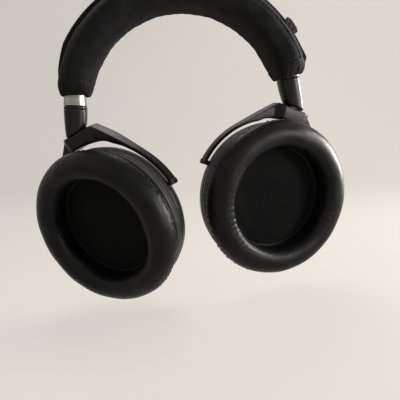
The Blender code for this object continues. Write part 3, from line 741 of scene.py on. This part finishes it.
def fold(piece, side, seed):
    """Folds run out from the hole: depth = share(radius, angle) * sin(count * angle + slow wander).
    The share is greatest where the leather turns into the hole. A sewn groove runs round the outside near the base,
    and the leather puckers beside it."""
    mesh = piece.data
    place = points_of(mesh)
    across, up, out = in_cup(side, place).T
    radius = np.hypot(across, up)
    angle = np.arctan2(up, across)
    height = (out - PAD_BASE) / PAD_HEIGHT
    phases = np.random.default_rng(seed).uniform(0, 2 * math.pi, 8)
    wander = 1.3 * np.sin(3 * angle + phases[0]) + 0.9 * np.sin(7 * angle + phases[1])
    patch = 0.45 + 0.30 * np.sin(2 * angle + phases[2]) + 0.25 * np.sin(5 * angle + phases[3])
    inner = np.exp(-((radius - PAD_HOLE - 0.0030) / 0.0042) ** 2) * np.clip(height * 1.6, 0, 1)
    ridges = np.sin(64 * angle + wander + 2.0 * height) + 0.6 * np.sin(97 * angle + 2 * wander + phases[4])
    depth = FOLD_DEPTH * inner * np.clip(patch, 0.08, 1) * ridges
    dents = DENT_DEPTH * np.sin(9 * angle + phases[5]) * np.sin(4 * angle + phases[6]) * np.clip(height, 0, 1)
    outside = radius > PAD_MIDDLE
    groove = -GROOVE_DEPTH * np.exp(-((height - SEAM_HEIGHT) / 0.035) ** 2) * outside
    near = np.exp(-((height - SEAM_HEIGHT - 0.11) / 0.07) ** 2) * outside
    pucker = PUCKER_DEPTH * near * np.sin(58 * angle + wander) * (0.6 + 0.4 * np.sin(3 * angle + phases[7]))
    move_points(mesh, place + points_of(mesh, "normal") * (depth + dents + groove + pucker)[:, None])


def make_pad(side, seed):
    """Blank, simulation, subdivision and folds, in that order."""
    piece = turned(side, "cushion", pad_outline(), PAD_STEPS)
    group = piece.vertex_groups.new(name="seat")
    depth = in_cup(side, points_of(piece.data))[:, 2]
    group.add(np.nonzero(depth < PAD_BASE + PAD_HELD)[0].tolist(), 1.0, "REPLACE")
    moved = swell(piece)
    subdivide(piece, 1)
    fold(piece, side, seed)
    piece.data.shade_smooth()
    settle(piece, f"{side}_cup", f"{side}_ear_pad", leather)
    return moved


for side, seed in zip(SIDES, (11, 23)):
    print(side, "pad swelled by", make_pad(side, seed))

# %% Stitches and welt
STITCH_HALF = 0.0011
STITCH_RADIUS = 0.00032
WELT_RADIUS = 0.0006


def seam_radius(side, depth, angle):
    """How far out the finished pad's skin is at a depth, as a function of the angle round the cup."""
    across, up, out = in_cup(side, points_of(bpy.data.objects[f"{side}_cushion"].data)).T
    radius = np.hypot(across, up)
    ring = (np.abs(out - depth) < 0.0006) & (radius > PAD_MIDDLE)
    around = np.arctan2(up[ring], across[ring]) % (2 * math.pi)
    order = np.argsort(around)
    return np.interp(angle, around[order], radius[ring][order], period=2 * math.pi)


def make_stitches(side):
    """Short rods laid round the pad's side seam, one every 4 degrees: six rings each, the outer two points."""
    depth = PAD_BASE + PAD_HEIGHT * (SEAM_HEIGHT + 0.10)
    angle = np.radians(np.arange(0, 360, 4.0))[:, None, None]
    seam = seam_radius(side, depth, angle)
    length = np.array([-1.0, -0.9, -0.4, 0.4, 0.9, 1.0])[None, :, None] * STITCH_HALF
    size = np.array([0.0, 0.6, 1.0, 1.0, 0.6, 0.0])[None, :, None] * STITCH_RADIUS
    turn = once_round(6)
    local = polar(seam + size * np.cos(turn), angle + length / seam, depth + size * np.sin(turn))
    piece = many(f"{side}_stitches", on_cup(side, local))
    return settle(piece, f"{side}_cup", None, thread)


def make_welt(side):
    """A thin round cord sewn in where the pad meets the collar: a circle carried round the cup."""
    turn = once_round(14)
    outline = np.stack([PAD_OUTER - 0.0012 + WELT_RADIUS * np.cos(turn),
                        PAD_BASE + 0.0003 + WELT_RADIUS * np.sin(turn)], -1)
    return settle(turned(side, "welt", outline), f"{side}_cup", None, leather)


for side in SIDES:
    tell(make_stitches(side))
    tell(make_welt(side))

# %% Cloth in the holes
EAR_CLOTH_RADIUS = 0.0325
EAR_CLOTH_FRONT = 0.0108
EAR_CLOTH_BACK = 0.0103


def make_ear_cloth(side):
    """A disc of radius and angle: it lies flat on the baffle, bulges over the driver and dips in rings round it."""
    radius = np.linspace(0, EAR_CLOTH_RADIUS, 60)
    bulge = 0.0007 * np.exp(-(radius / 0.017) ** 4) + 0.00010 * np.cos(radius * 2 * math.pi / 0.0085)
    rim = np.clip((EAR_CLOTH_RADIUS - radius) / 0.003, 0, 1)
    profile = np.stack([radius, EAR_CLOTH_FRONT + bulge * rim], -1)
    under = np.stack([radius[::-1], np.full(60, EAR_CLOTH_BACK)], -1)
    piece = turned(side, "ear_cloth_sheet", np.concatenate([profile, under]), 120, closed=False)
    return settle(piece, f"{side}_cup", f"{side}_ear_cloth", ear_mesh)


for side in SIDES:
    tell(make_ear_cloth(side))

# %% [markdown]
# ## Forks
# The fork is one dark metal strip: thin round the cup, and deep and flat-topped at the crown, where the swivel
# is. Seen along the cup's axis its outside is a circle, then a straight line up to the crown's corner, then the
# flat top. All three are radius as a function of angle, so one sweep draws the whole fork.

# %% Fork sweep
FORK_INNER = 0.0490
FORK_OUTER = FORK_INNER + 0.0023
FORK_DEPTH = 0.0058
FORK_FOOT = math.asin(0.0070 / FORK_INNER)
CROWN_DEPTH = 0.0130
CROWN_PIVOT = 0.0585
CROWN_TOP = 0.0597
CROWN_HALF = 0.0118
CROWN_CORNER = math.atan2(CROWN_TOP, CROWN_HALF)
CROWN_SHIFT = {"left": 0.0024, "right": 0.0}


def fork_outside(angle):
    """Radius of the outside: the circle, the line that touches it and meets the crown's corner, or the top."""
    mirrored = np.minimum(angle, math.pi - angle)
    touch = CROWN_CORNER - math.acos(FORK_OUTER / math.hypot(CROWN_TOP, CROWN_HALF))
    line = FORK_OUTER / np.cos(np.clip(mirrored - touch, 0, 1.2))
    top = CROWN_TOP / np.sin(mirrored)
    return np.where(mirrored < touch, FORK_OUTER, np.where(mirrored < CROWN_CORNER, line, top))


def fork_angles():
    """Angles from foot to foot, closer together round the crown's corners."""
    spread = np.concatenate([np.linspace(FORK_FOOT, CROWN_CORNER - 0.03, 70),
                             CROWN_CORNER + np.linspace(-0.02, 0.02, 5),
                             np.linspace(CROWN_CORNER + 0.03, math.pi / 2, 16)])
    return np.concatenate([spread, (math.pi - spread)[::-1][1:]])


def make_fork(side):
    """Carry a squared section round the fork, from inside to outside; at the crown it deepens, later in front than
    behind, which leaves slanted front corners. Where the crown is shifted towards the cup, the inside gives way."""
    angle = fork_angles()
    ends = np.array([0.0, 0.55, 0.85])
    shrink = np.concatenate([ends, np.ones(len(angle)), ends[::-1]])[:, None]
    angle = np.concatenate([angle[:3], angle, angle[-3:]])[:, None]
    outside = fork_outside(angle)
    mirrored = np.degrees(np.minimum(angle, math.pi - angle))
    lead = smooth((mirrored - 36) / 36)
    shift = CROWN_SHIFT[side] * lead
    inside = FORK_INNER + 0.0012 * smooth((mirrored - 62) / 9) + shift * np.maximum(0, -np.cos(angle))
    deeper = (CROWN_DEPTH - FORK_DEPTH) / 2
    front = FORK_DEPTH / 2 + deeper * smooth((mirrored - 76) / 6.5)
    back = FORK_DEPTH / 2 + deeper * lead
    wide, tall = squared(once_round(44), 7.0)
    radius = (outside + inside) / 2 + (outside - inside) / 2 * shrink * wide
    grid = polar(radius, angle, PIVOT_DEPTH + np.where(tall > 0, front, back) * shrink * tall)
    grid[..., 0] += shift
    piece = surface(f"{side}_fork", on_cup(side, grid))
    return settle(piece, f"{side}_fork", f"{side}_yoke", gunmetal, sharp=50)


for side in SIDES:
    tell(make_fork(side))

# %% Caps on the fork's ends
BOOT_HALF_THICK = 0.0016
BOOT_HALF_DEPTH = 0.0034


def make_foot_cap(side, label, way):
    """A small moulded boot on a fork's end: the squared section, a little larger, over the last few degrees."""
    share = np.array([0.0, 0.0, 0.08, 0.25, 0.6, 0.9, 1.0, 1.0])[:, None]
    size = np.array([0.0, 0.75, 0.95, 1.0, 1.0, 0.95, 0.85, 0.0])[:, None]
    angle = FORK_FOOT - 0.012 + share * math.radians(3.4)
    wide, tall = squared(once_round(40), 4.0)
    radius = (FORK_INNER + FORK_OUTER) / 2 + BOOT_HALF_THICK * size * wide
    grid = polar(radius, angle, PIVOT_DEPTH + BOOT_HALF_DEPTH * size * tall)
    grid[..., 0] *= way
    piece = surface(f"{side}_{label}_boot", on_cup(side, grid))
    return settle(piece, f"{side}_fork", None, inner_plastic)


def make_pin_head(side, label, way):
    """The domed head of a tilt pin, outside the fork: rings of a radius and a height, with a slot cut across."""
    radius = np.array([0.0, 0.0003, 0.0006, 0.0010, 0.0014, 0.0016, 0.0017, 0.0017, 0.0])[:, None]
    height = np.array([0.00075, 0.00074, 0.00071, 0.00062, 0.00045, 0.00025, 0.0001, -0.0002, -0.0002])[:, None]
    turn = once_round(40)
    outside = math.sqrt(FORK_OUTER ** 2 - PIVOT_HEIGHT ** 2)
    slot = np.exp(-(radius * np.cos(turn) / 0.00025) ** 4) * (height > 0.0002) * 0.00035
    grid = np.stack([way * (outside + height - slot), PIVOT_HEIGHT + radius * np.cos(turn),
                     PIVOT_DEPTH + radius * np.sin(turn)], -1)
    piece = surface(f"{side}_{label}_pin_head", on_cup(side, grid))
    return settle(piece, f"{side}_cup", None, gunmetal)


for side in SIDES:
    for label, way in (("inner", -1), ("outer", 1)):
        tell(make_foot_cap(side, label, way))
        tell(make_pin_head(side, label, way))

# %% [markdown]
# ## Arms, rails and guides
# The rail is a drawn oval tube that slides in the headband. The dark arm is cast on to its end and stands on the
# crown. Both are an oval section carried along a path: the rail's bends a little just above the arm, and the
# arm's is straight, with its last rings turned to lie flat on the crown. The guide in the headband is the rail's
# oval again, a little larger.

# %% Paths and sections
RAIL_THICKNESS = 0.0126
RAIL_WIDTH = 0.0156
RAIL_WALL = 0.0014
RAIL_LENGTH = 0.0275
RAIL_FLARE = 0.0012
RAIL_BEND = 0.0095
BEND_POWER = 1.4
RAIL_FEET = {"left": (-0.072266, 0.0, -0.051538), "right": (0.069987, 0.0, -0.044919)}
STEM_FOOT = {"left": 0.0019, "right": -0.0016}
STEM_BASE = {"left": 0.0010, "right": 0.0006}
FORWARD = np.array([0.0, -1.0, 0.0])
SWIVEL_GAP = 0.0003
ARM_RISE = {"left": 0.0, "right": 0.0046}
ARM_OVERLAP = 0.0006
RING_POINTS = 72
RAIL_SECTION = squared(once_round(RING_POINTS), 3.0)
ARM_SECTION = squared(once_round(RING_POINTS), 2.5)


def slide_up(side):
    """The way up a rail, into the headband."""
    return unit(-np.array(joints[f"{side}_slide"]["axis"]))


def stem(side):
    """Where the arm starts and ends, and the way up along it."""
    start = np.array(RAIL_FEET[side]) + np.array([STEM_FOOT[side], 0, 0])
    end = np.array(joints[f"{side}_swivel"]["pos_m"]) + swivel_axis(side) * (CROWN_TOP - CROWN_PIVOT + SWIVEL_GAP)
    end = end + np.array([STEM_BASE[side], 0, 0])
    return start, end, unit(start - end)


def carry(section, centre, across, half_thick, half_wide):
    """Carry a section along a path: its wide way across, and its tall way towards the camera."""
    wide, tall = section
    return (centre[:, None] + (half_thick[:, None] * wide)[..., None] * across[..., None, :]
            + (half_wide[:, None] * tall)[..., None] * FORWARD)


print("rail and arm sections have", RING_POINTS, "points")

# %% Rails


def make_rail(side):
    """An oval carried up the rail and back down inside as the tube's bore; its lowest part bends into the arm."""
    up = slide_up(side)
    foot = max(0.0, ARM_RISE[side] - ARM_OVERLAP)
    height = np.concatenate([np.linspace(foot, RAIL_LENGTH, 60), np.linspace(RAIL_LENGTH, foot, 30)])
    inset = np.repeat([0.0, RAIL_WALL], [60, 30])
    low = np.clip(1 - height / RAIL_BEND, 0, 1)
    bend = np.array([STEM_FOOT[side], 0, 0]) * (low ** BEND_POWER)[:, None]
    centre = np.array(RAIL_FEET[side]) + height[:, None] * up + bend
    across = unit(np.cross(FORWARD, up) * (1 - low)[:, None] + np.cross(FORWARD, stem(side)[2]) * low[:, None])
    half_thick = (RAIL_THICKNESS + RAIL_FLARE * low) / 2 - inset
    piece = surface(f"{side}_rail", carry(RAIL_SECTION, centre, across, half_thick, RAIL_WIDTH / 2 - inset),
                    round_rows=True)
    return settle(piece, f"{side}_slider", f"{side}_slider_rail", rail_steel, sharp=40)


for side in SIDES:
    tell(make_rail(side))

# %% Guides
GUIDE_LOW = 0.0060
GUIDE_TOP = 0.0288
GUIDE_GAP = 0.0003
GUIDE_WALL = 0.0012


def make_guide(side):
    """The rail's oval and a gap, up the outside and down the bore. Low down it opens for the rail's bend, when that
    is pushed in: spread = shift low^1.4 + flare low / 2."""
    up = slide_up(side)
    height = np.concatenate([np.linspace(GUIDE_LOW, GUIDE_TOP, 40), np.linspace(GUIDE_TOP, GUIDE_LOW, 40)])
    outset = GUIDE_GAP + np.repeat([GUIDE_WALL, 0.0], 40)
    low = np.clip(1 - height / RAIL_BEND, 0, 1)
    spread = abs(STEM_FOOT[side]) * low ** BEND_POWER + RAIL_FLARE / 2 * low
    centre = np.array(RAIL_FEET[side]) + (height - joints[f"{side}_slide"]["range_m"][0])[:, None] * up
    grid = carry(RAIL_SECTION, centre, np.cross(FORWARD, up), RAIL_THICKNESS / 2 + outset + spread,
                 RAIL_WIDTH / 2 + outset)
    piece = surface(f"{side}_guide", grid, round_rows=True)
    return settle(piece, "headband", f"{side}_slider_guide", inner_plastic, sharp=40)


for side in SIDES:
    tell(make_guide(side))

# %% Arms
ARM_TOP = (0.0143, 0.0162)
ARM_END = (0.0136, 0.0128)
ARM_ROUNDING = 0.10
PARTING_DEPTH = 0.04
PARTING_PLACE = 0.12


def make_arm(side):
    """A straight stem from the rail's foot to the crown; its section narrows, and turns to lie flat on the crown."""
    start, end, way = stem(side)
    share = np.linspace(0, 1, 60)[:, None]
    rest = 1 - share
    centre = (start + way * (ARM_RISE[side] - SWIVEL_GAP)) * rest + end * share
    across = unit(np.cross(FORWARD, swivel_axis(side)) * share ** 2 + np.cross(FORWARD, way) * (1 - share ** 2))
    edge = np.minimum(share, rest)[:, 0] * 24
    round_off = 1 - ARM_ROUNDING * (1 - np.clip(edge, 0, 1)) ** 2
    parting = 1 - PARTING_DEPTH * np.exp(-((share[:, 0] - PARTING_PLACE) / 0.014) ** 2)
    half_thick, half_wide = ((top * rest + low * share)[:, 0] / 2 * round_off * parting
                             for top, low in zip(ARM_TOP, ARM_END))
    grid = carry(ARM_SECTION, centre, across, half_thick, half_wide)
    caps = np.repeat(centre[[0, -1], None], RING_POINTS, axis=1)
    piece = surface(f"{side}_cast_arm", np.concatenate([caps[:1], grid, caps[1:]]))
    return settle(piece, f"{side}_slider", f"{side}_arm", arm_metal, sharp=45)


for side in SIDES:
    tell(make_arm(side))

# %% [markdown]
# ## Headband sleeve
# The sleeve is black cloth over foam. It is drawn in round the rail at both ends, hemmed there, and closed along
# the top by a zip. A tube with a Solidify modifier would do, but the cloth needs its rounded ends, its hem and
# small creases, so the sleeve is a closed section carried along the arch, in at its ends and back inside.

# %% Sleeve section
BAND_RADIUS = 0.0575
SLEEVE_MIDDLE = 0.0712
SLEEVE_FULL = (0.0216, 0.0374)
SLEEVE_END = (0.0194, 0.0290)
SLEEVE_MOUTH = (0.0160, 0.0178)
SLEEVE_ENDS = (math.radians(79.6), math.radians(76.8))
SLEEVE_TAPER = 0.0140
SLEEVE_ROUND = 0.0070
SLEEVE_WALL = 0.0013
MOUTH_SHIFTS = (-0.0007, -0.0012)
OUTER_REACH = (0.025, 0.009)
ZIP_SIDE_SQUARENESS = 2.0
HEAD_SIDE_SQUARENESS = 3.0


def on_band(radius, angle, across):
    """Point at a radius and angle about the band's centre, and a distance across the band."""
    return np.stack([radius * np.sin(angle), across + 0 * radius, radius * np.cos(angle) - BAND_RADIUS], -1)


def sleeve_section(turn, drawn=0.0):
    """A squared circle on the head's side and a rounder one on the zip's side, from -1 to 1 each way. Where the
    sleeve is drawn in round the rail, both sides are square."""
    zip_side = ZIP_SIDE_SQUARENESS + (HEAD_SIDE_SQUARENESS - ZIP_SIDE_SQUARENESS) * drawn
    return squared(turn, np.where(np.cos(turn) > 0, zip_side, HEAD_SIDE_SQUARENESS))


def fading(from_end, length):
    """1 at the sleeve's end, falling evenly to 0 at a length from it."""
    return np.clip(1 - from_end / length, 0, 1)


def sleeve_halves(from_end):
    """Half thickness and half width at a distance from the end: a quarter ellipse opens from the mouth, and a
    square curve goes on to the full size."""
    draw = fading(from_end, SLEEVE_TAPER) ** 2
    opened = np.sqrt(1 - fading(from_end, SLEEVE_ROUND) ** 2)
    halves = []
    for full, drawn, mouth in zip(SLEEVE_FULL, SLEEVE_END, SLEEVE_MOUTH):
        size = full + (drawn - full) * draw
        halves.append((mouth + (size - mouth) * opened) / 2)
    return halves


print("sleeve length:", round(sum(SLEEVE_ENDS) * SLEEVE_MIDDLE, 4))

# %% Sleeve
HEM_LINE = 0.0085
HEM_DEPTH = 0.0004
GATHER_DEPTH = 0.00020
CREASE_DEPTH = 0.00009
SLACK_DEPTH = 0.00018


def make_sleeve():
    """Point = band centre + (middle radius + wide * half thickness) at an angle, and tall * half width across.
    The outer skin has creases and a sewn hem line; the inner skin lies a wall's thickness inside it."""
    ease = np.sin(np.linspace(-math.pi / 2, math.pi / 2, 330))
    outer = np.sign(ease) * np.abs(ease) ** 0.8
    inner = np.linspace(1, -1, 90)[1:-1]
    place = np.concatenate([outer, inner])[:, None]
    skin = np.repeat([1.0, 0.0], [len(outer), len(inner)])[:, None]
    limit, mouth_shift, reach = (np.where(place < 0, *pair) for pair in (SLEEVE_ENDS, MOUTH_SHIFTS, OUTER_REACH))
    angle = place * limit
    from_end = (limit - np.abs(angle)) * SLEEVE_MIDDLE
    thick, width = sleeve_halves(from_end)
    wall = np.where(skin > 0, 0.0, np.minimum(SLEEVE_WALL, 0.15 * (thick - SLEEVE_MOUTH[0] / 2)))
    around = once_round(120)
    drawn = fading(from_end, SLEEVE_ROUND)
    wide, tall = sleeve_section(around, drawn)
    sewn = -HEM_DEPTH * np.exp(-((from_end - HEM_LINE) / 0.0005) ** 2)
    gather = GATHER_DEPTH * np.sin(26 * around + 3 * np.sin(2 * around)) * np.exp(-(from_end / 0.006) ** 2)
    under = np.clip(-wide, 0, 1)
    crease = CREASE_DEPTH * under * np.sin(61 * angle + 2.2 * np.sin(3 * around) + 1.7 * np.sin(9 * angle))
    slack = SLACK_DEPTH * np.sin(17 * angle + 2 * around) * np.sin(5 * angle)
    move = (sewn + gather + (crease + slack) * np.clip(from_end / 0.012, 0, 1)) * skin
    radius = SLEEVE_MIDDLE + mouth_shift * drawn ** 2 + wide * (thick - wall + move)
    near = np.sign(angle) * reach * fading(from_end, SLEEVE_TAPER) ** 2
    grid = on_band(radius, angle + near * (wide + 1) / 2, tall * (width - wall + move))
    piece = surface("sleeve", grid, round_rows=True)
    settle(piece, "headband", "headband_cover", sleeve_cloth)
    return piece


tell(make_sleeve())

# %% Foam and piping
FOAM_ANGLE = 50
FOAM_HALF_WIDTH = 0.0135
PIPING_TURN = 1.12
PIPING_STOP = math.radians(5.5)
PIPING_SIZE = 0.00045


def make_foam(name, node, middle, half_thick):
    """Foam on one side of the spring: an oval carried along the arch in the sleeve, drawn to a point at each end."""
    angle = np.radians(np.linspace(-FOAM_ANGLE, FOAM_ANGLE, 60))[:, None]
    size = np.sqrt(1 - np.linspace(-1, 1, 60)[:, None] ** 8)
    wide, tall = squared(once_round(48), 2.6)
    piece = surface(name, on_band(middle + half_thick * wide * size, angle, FOAM_HALF_WIDTH * tall * size))
    return settle(piece, "headband", node, grey_foam)


def make_piping(name, way):
    """A thin cord sewn along the edge of the cloth panel: a circle carried along the sleeve's skin at one angle."""
    place = np.linspace(-1, 1, 240)[:, None]
    limit = np.where(place < 0, *SLEEVE_ENDS)
    angle = place * (limit - PIPING_STOP)
    thick, width = sleeve_halves((limit - np.abs(angle)) * SLEEVE_MIDDLE)
    wide, tall = sleeve_section(way * PIPING_TURN)
    turn = once_round(12)
    size = np.sqrt(np.maximum(1 - place ** 40, 0)) * PIPING_SIZE
    radius = SLEEVE_MIDDLE + wide * thick + size * np.cos(turn)
    piece = surface(name, on_band(radius, angle, tall * width + size * np.sin(turn)))
    return settle(piece, "headband", None, tape_cloth)


tell(make_foam("inner_foam", "lower_padding", 0.0654, 0.0030))
tell(make_foam("outer_foam", "upper_padding", 0.0756, 0.0032))
tell(make_piping("front_piping", -1))
tell(make_piping("rear_piping", 1))

# %% [markdown]
# ## Zip
# A flat zip runs over the top of the arch. Its tape stands up as a flange that falls away at both ends; before
# the right end it rises into a small garage for the runner. The teeth are one small block repeated along the
# crest, and the runner is a saddle over the tape with ridged cheeks and a leaf to pull.

# %% Zip tape
ZIP_ANGLE = math.radians(76.0)
ZIP_GARAGE = math.radians(71.0)
ZIP_LOW_END = math.radians(-60.0)
ZIP_BASE = 0.0818
ZIP_HEIGHT = 0.0037
ZIP_THICKNESS = 0.0024
TAPE_STEPS = 300


def tape_height(angle):
    """Even along the arch. On the right it rises at the garage and falls steeply; on the left it falls slowly."""
    start = np.where(angle < 0, -ZIP_LOW_END, ZIP_GARAGE)
    garage = 1 + 0.20 * np.exp(-((angle - ZIP_GARAGE) / math.radians(3.2)) ** 2)
    fall = np.clip((ZIP_ANGLE - np.abs(angle)) / (ZIP_ANGLE - start), 0, 1)
    return ZIP_HEIGHT * garage * (0.06 + 0.94 * fall)


def make_tape():
    """A tall rounded section carried along the top of the sleeve, with a waist where its two edges are sewn."""
    angle = np.linspace(-ZIP_ANGLE, ZIP_ANGLE, TAPE_STEPS)[:, None]
    wide, tall = squared(once_round(48), 4.0)
    closed = np.ones((TAPE_STEPS, 1))
    closed[[0, -1]] = 0.0
    sink = np.clip((np.abs(angle) - math.radians(69)) / math.radians(7), 0, 1) ** 2 * 0.0012
    radius = ZIP_BASE - sink + tape_height(angle) / 2 * (1 + wide * closed)
    waist = 1 - 0.25 * np.exp(-((wide + 0.40) / 0.16) ** 2)
    piece = surface("zip_flange", on_band(radius, angle, tall * waist * closed * ZIP_THICKNESS / 2))
    return settle(piece, "headband", "cover_zip", tape_cloth)


tell(make_tape())

# %% Zip teeth
TOOTH_COUNT = 94
TOOTH_HALF = (0.00035, 0.00055, 0.0009)


def make_teeth():
    """Each tooth is a short bar across the crest: a row of four rings, the outer two shrunk to a point."""
    tall, long, wide = TOOTH_HALF
    angle = np.linspace(math.radians(-59), math.radians(51), TOOTH_COUNT)[:, None, None]
    crest = ZIP_BASE + ZIP_HEIGHT - 0.0001
    across = np.array([-wide, -wide, wide, wide])[None, :, None]
    size = np.array([0.0, 1.0, 1.0, 0.0])[None, :, None]
    turn = once_round(8)
    radius = crest + tall * size * np.sin(turn)
    swing = angle + long * size * np.cos(turn) / crest
    piece = many("zip_teeth", on_band(radius + 0 * swing, swing, across))
    return settle(piece, "headband", None, teeth_plastic, sharp=40)


tell(make_teeth())

# %% Runner and pull
RUNNER_ANGLE = math.radians(56.0)
RUNNER_LENGTH = 0.0116
RUNNER_MIDDLE = 0.0853
RUNNER_TOP = 0.0868
CHEEK_FOOT = 0.0836
CHEEK_HEIGHT = 0.0033
CHEEK_INSIDE = 0.0030
MARK_DEPTH = 0.00030
PULL_BASE = 0.0873
PULL_HALF = (0.0045, 0.0025)
SADDLE = [(0.08335, -0.0032), (0.0871, -0.0032), (0.0871, 0.0032), (0.08335, 0.0032), (0.08335, 0.0016),
          (0.0866, 0.0016), (0.0866, -0.0016), (0.08335, -0.0016)]


def resample(path, count):
    """Points at even steps along an open path."""
    length = np.concatenate([[0], np.cumsum(np.linalg.norm(np.diff(path, axis=0), axis=1))])
    step = np.linspace(0, length[-1], count)
    return np.stack([np.interp(step, length, path[:, index]) for index in range(2)], -1)


def make_runner():
    """A saddle section carried 11.6 mm along the band; its cheeks carry raised triangles, point up and point down.
    The section runs over the outside and back inside, so each end closes half-way between the two."""
    curve = rounded(SADDLE, 0.0004)
    out, side_way = np.concatenate([resample(curve[:20], 75), resample(curve[20:], 75)]).T
    along = np.linspace(-1, 1, 60)[:, None]
    ends = np.sqrt(1 - np.clip((np.abs(along) - 0.94) / 0.06, 0, 1) ** 2)
    wave = np.abs((along * 1.5) % 1.0 - 0.5) * 2
    level = (out - CHEEK_FOOT) / CHEEK_HEIGHT
    cheek = np.abs(side_way) > CHEEK_INSIDE
    mark = np.clip((np.abs(wave - level) - 0.16) / 0.08, 0, 1) * cheek * MARK_DEPTH
    radius = RUNNER_MIDDLE + (out - RUNNER_MIDDLE) * (0.9 + 0.1 * ends)
    across = side_way * (0.86 + 0.14 * ends) + np.sign(side_way) * (mark - MARK_DEPTH / 2 * cheek)
    grid = on_band(radius, RUNNER_ANGLE + along * RUNNER_LENGTH / 2 / RUNNER_TOP, across)
    tip = (grid[[0, -1]] + grid[[0, -1], ::-1]) / 2
    piece = surface("zip_runner_saddle", np.concatenate([tip[:1], grid, tip[1:]]))
    return settle(piece, "zip_runner", "zip_slider", runner_metal, sharp=40)


def make_pull():
    """A rounded leaf on top of the runner: a squared outline swept through its thickness, with cross ridges."""
    wide, tall = squared(once_round(64), 5.0)
    level = np.array([0.0, 0.0, 0.0001, 0.0009, 0.0010, 0.0010])[:, None]
    size = np.array([0.0, 0.93, 1.0, 1.0, 0.93, 0.0])[:, None]
    ridge = 0.00015 * np.sin(wide * 14) * (level > 0.0008)
    radius = PULL_BASE + level * 0.8 + ridge * size
    angle = RUNNER_ANGLE + wide * size * PULL_HALF[0] / PULL_BASE
    piece = surface("zip_pull_leaf", on_band(radius, angle, tall * size * PULL_HALF[1]))
    return settle(piece, "zip_runner", "zip_pull", runner_metal, sharp=40)


tell(make_runner())
tell(make_pull())
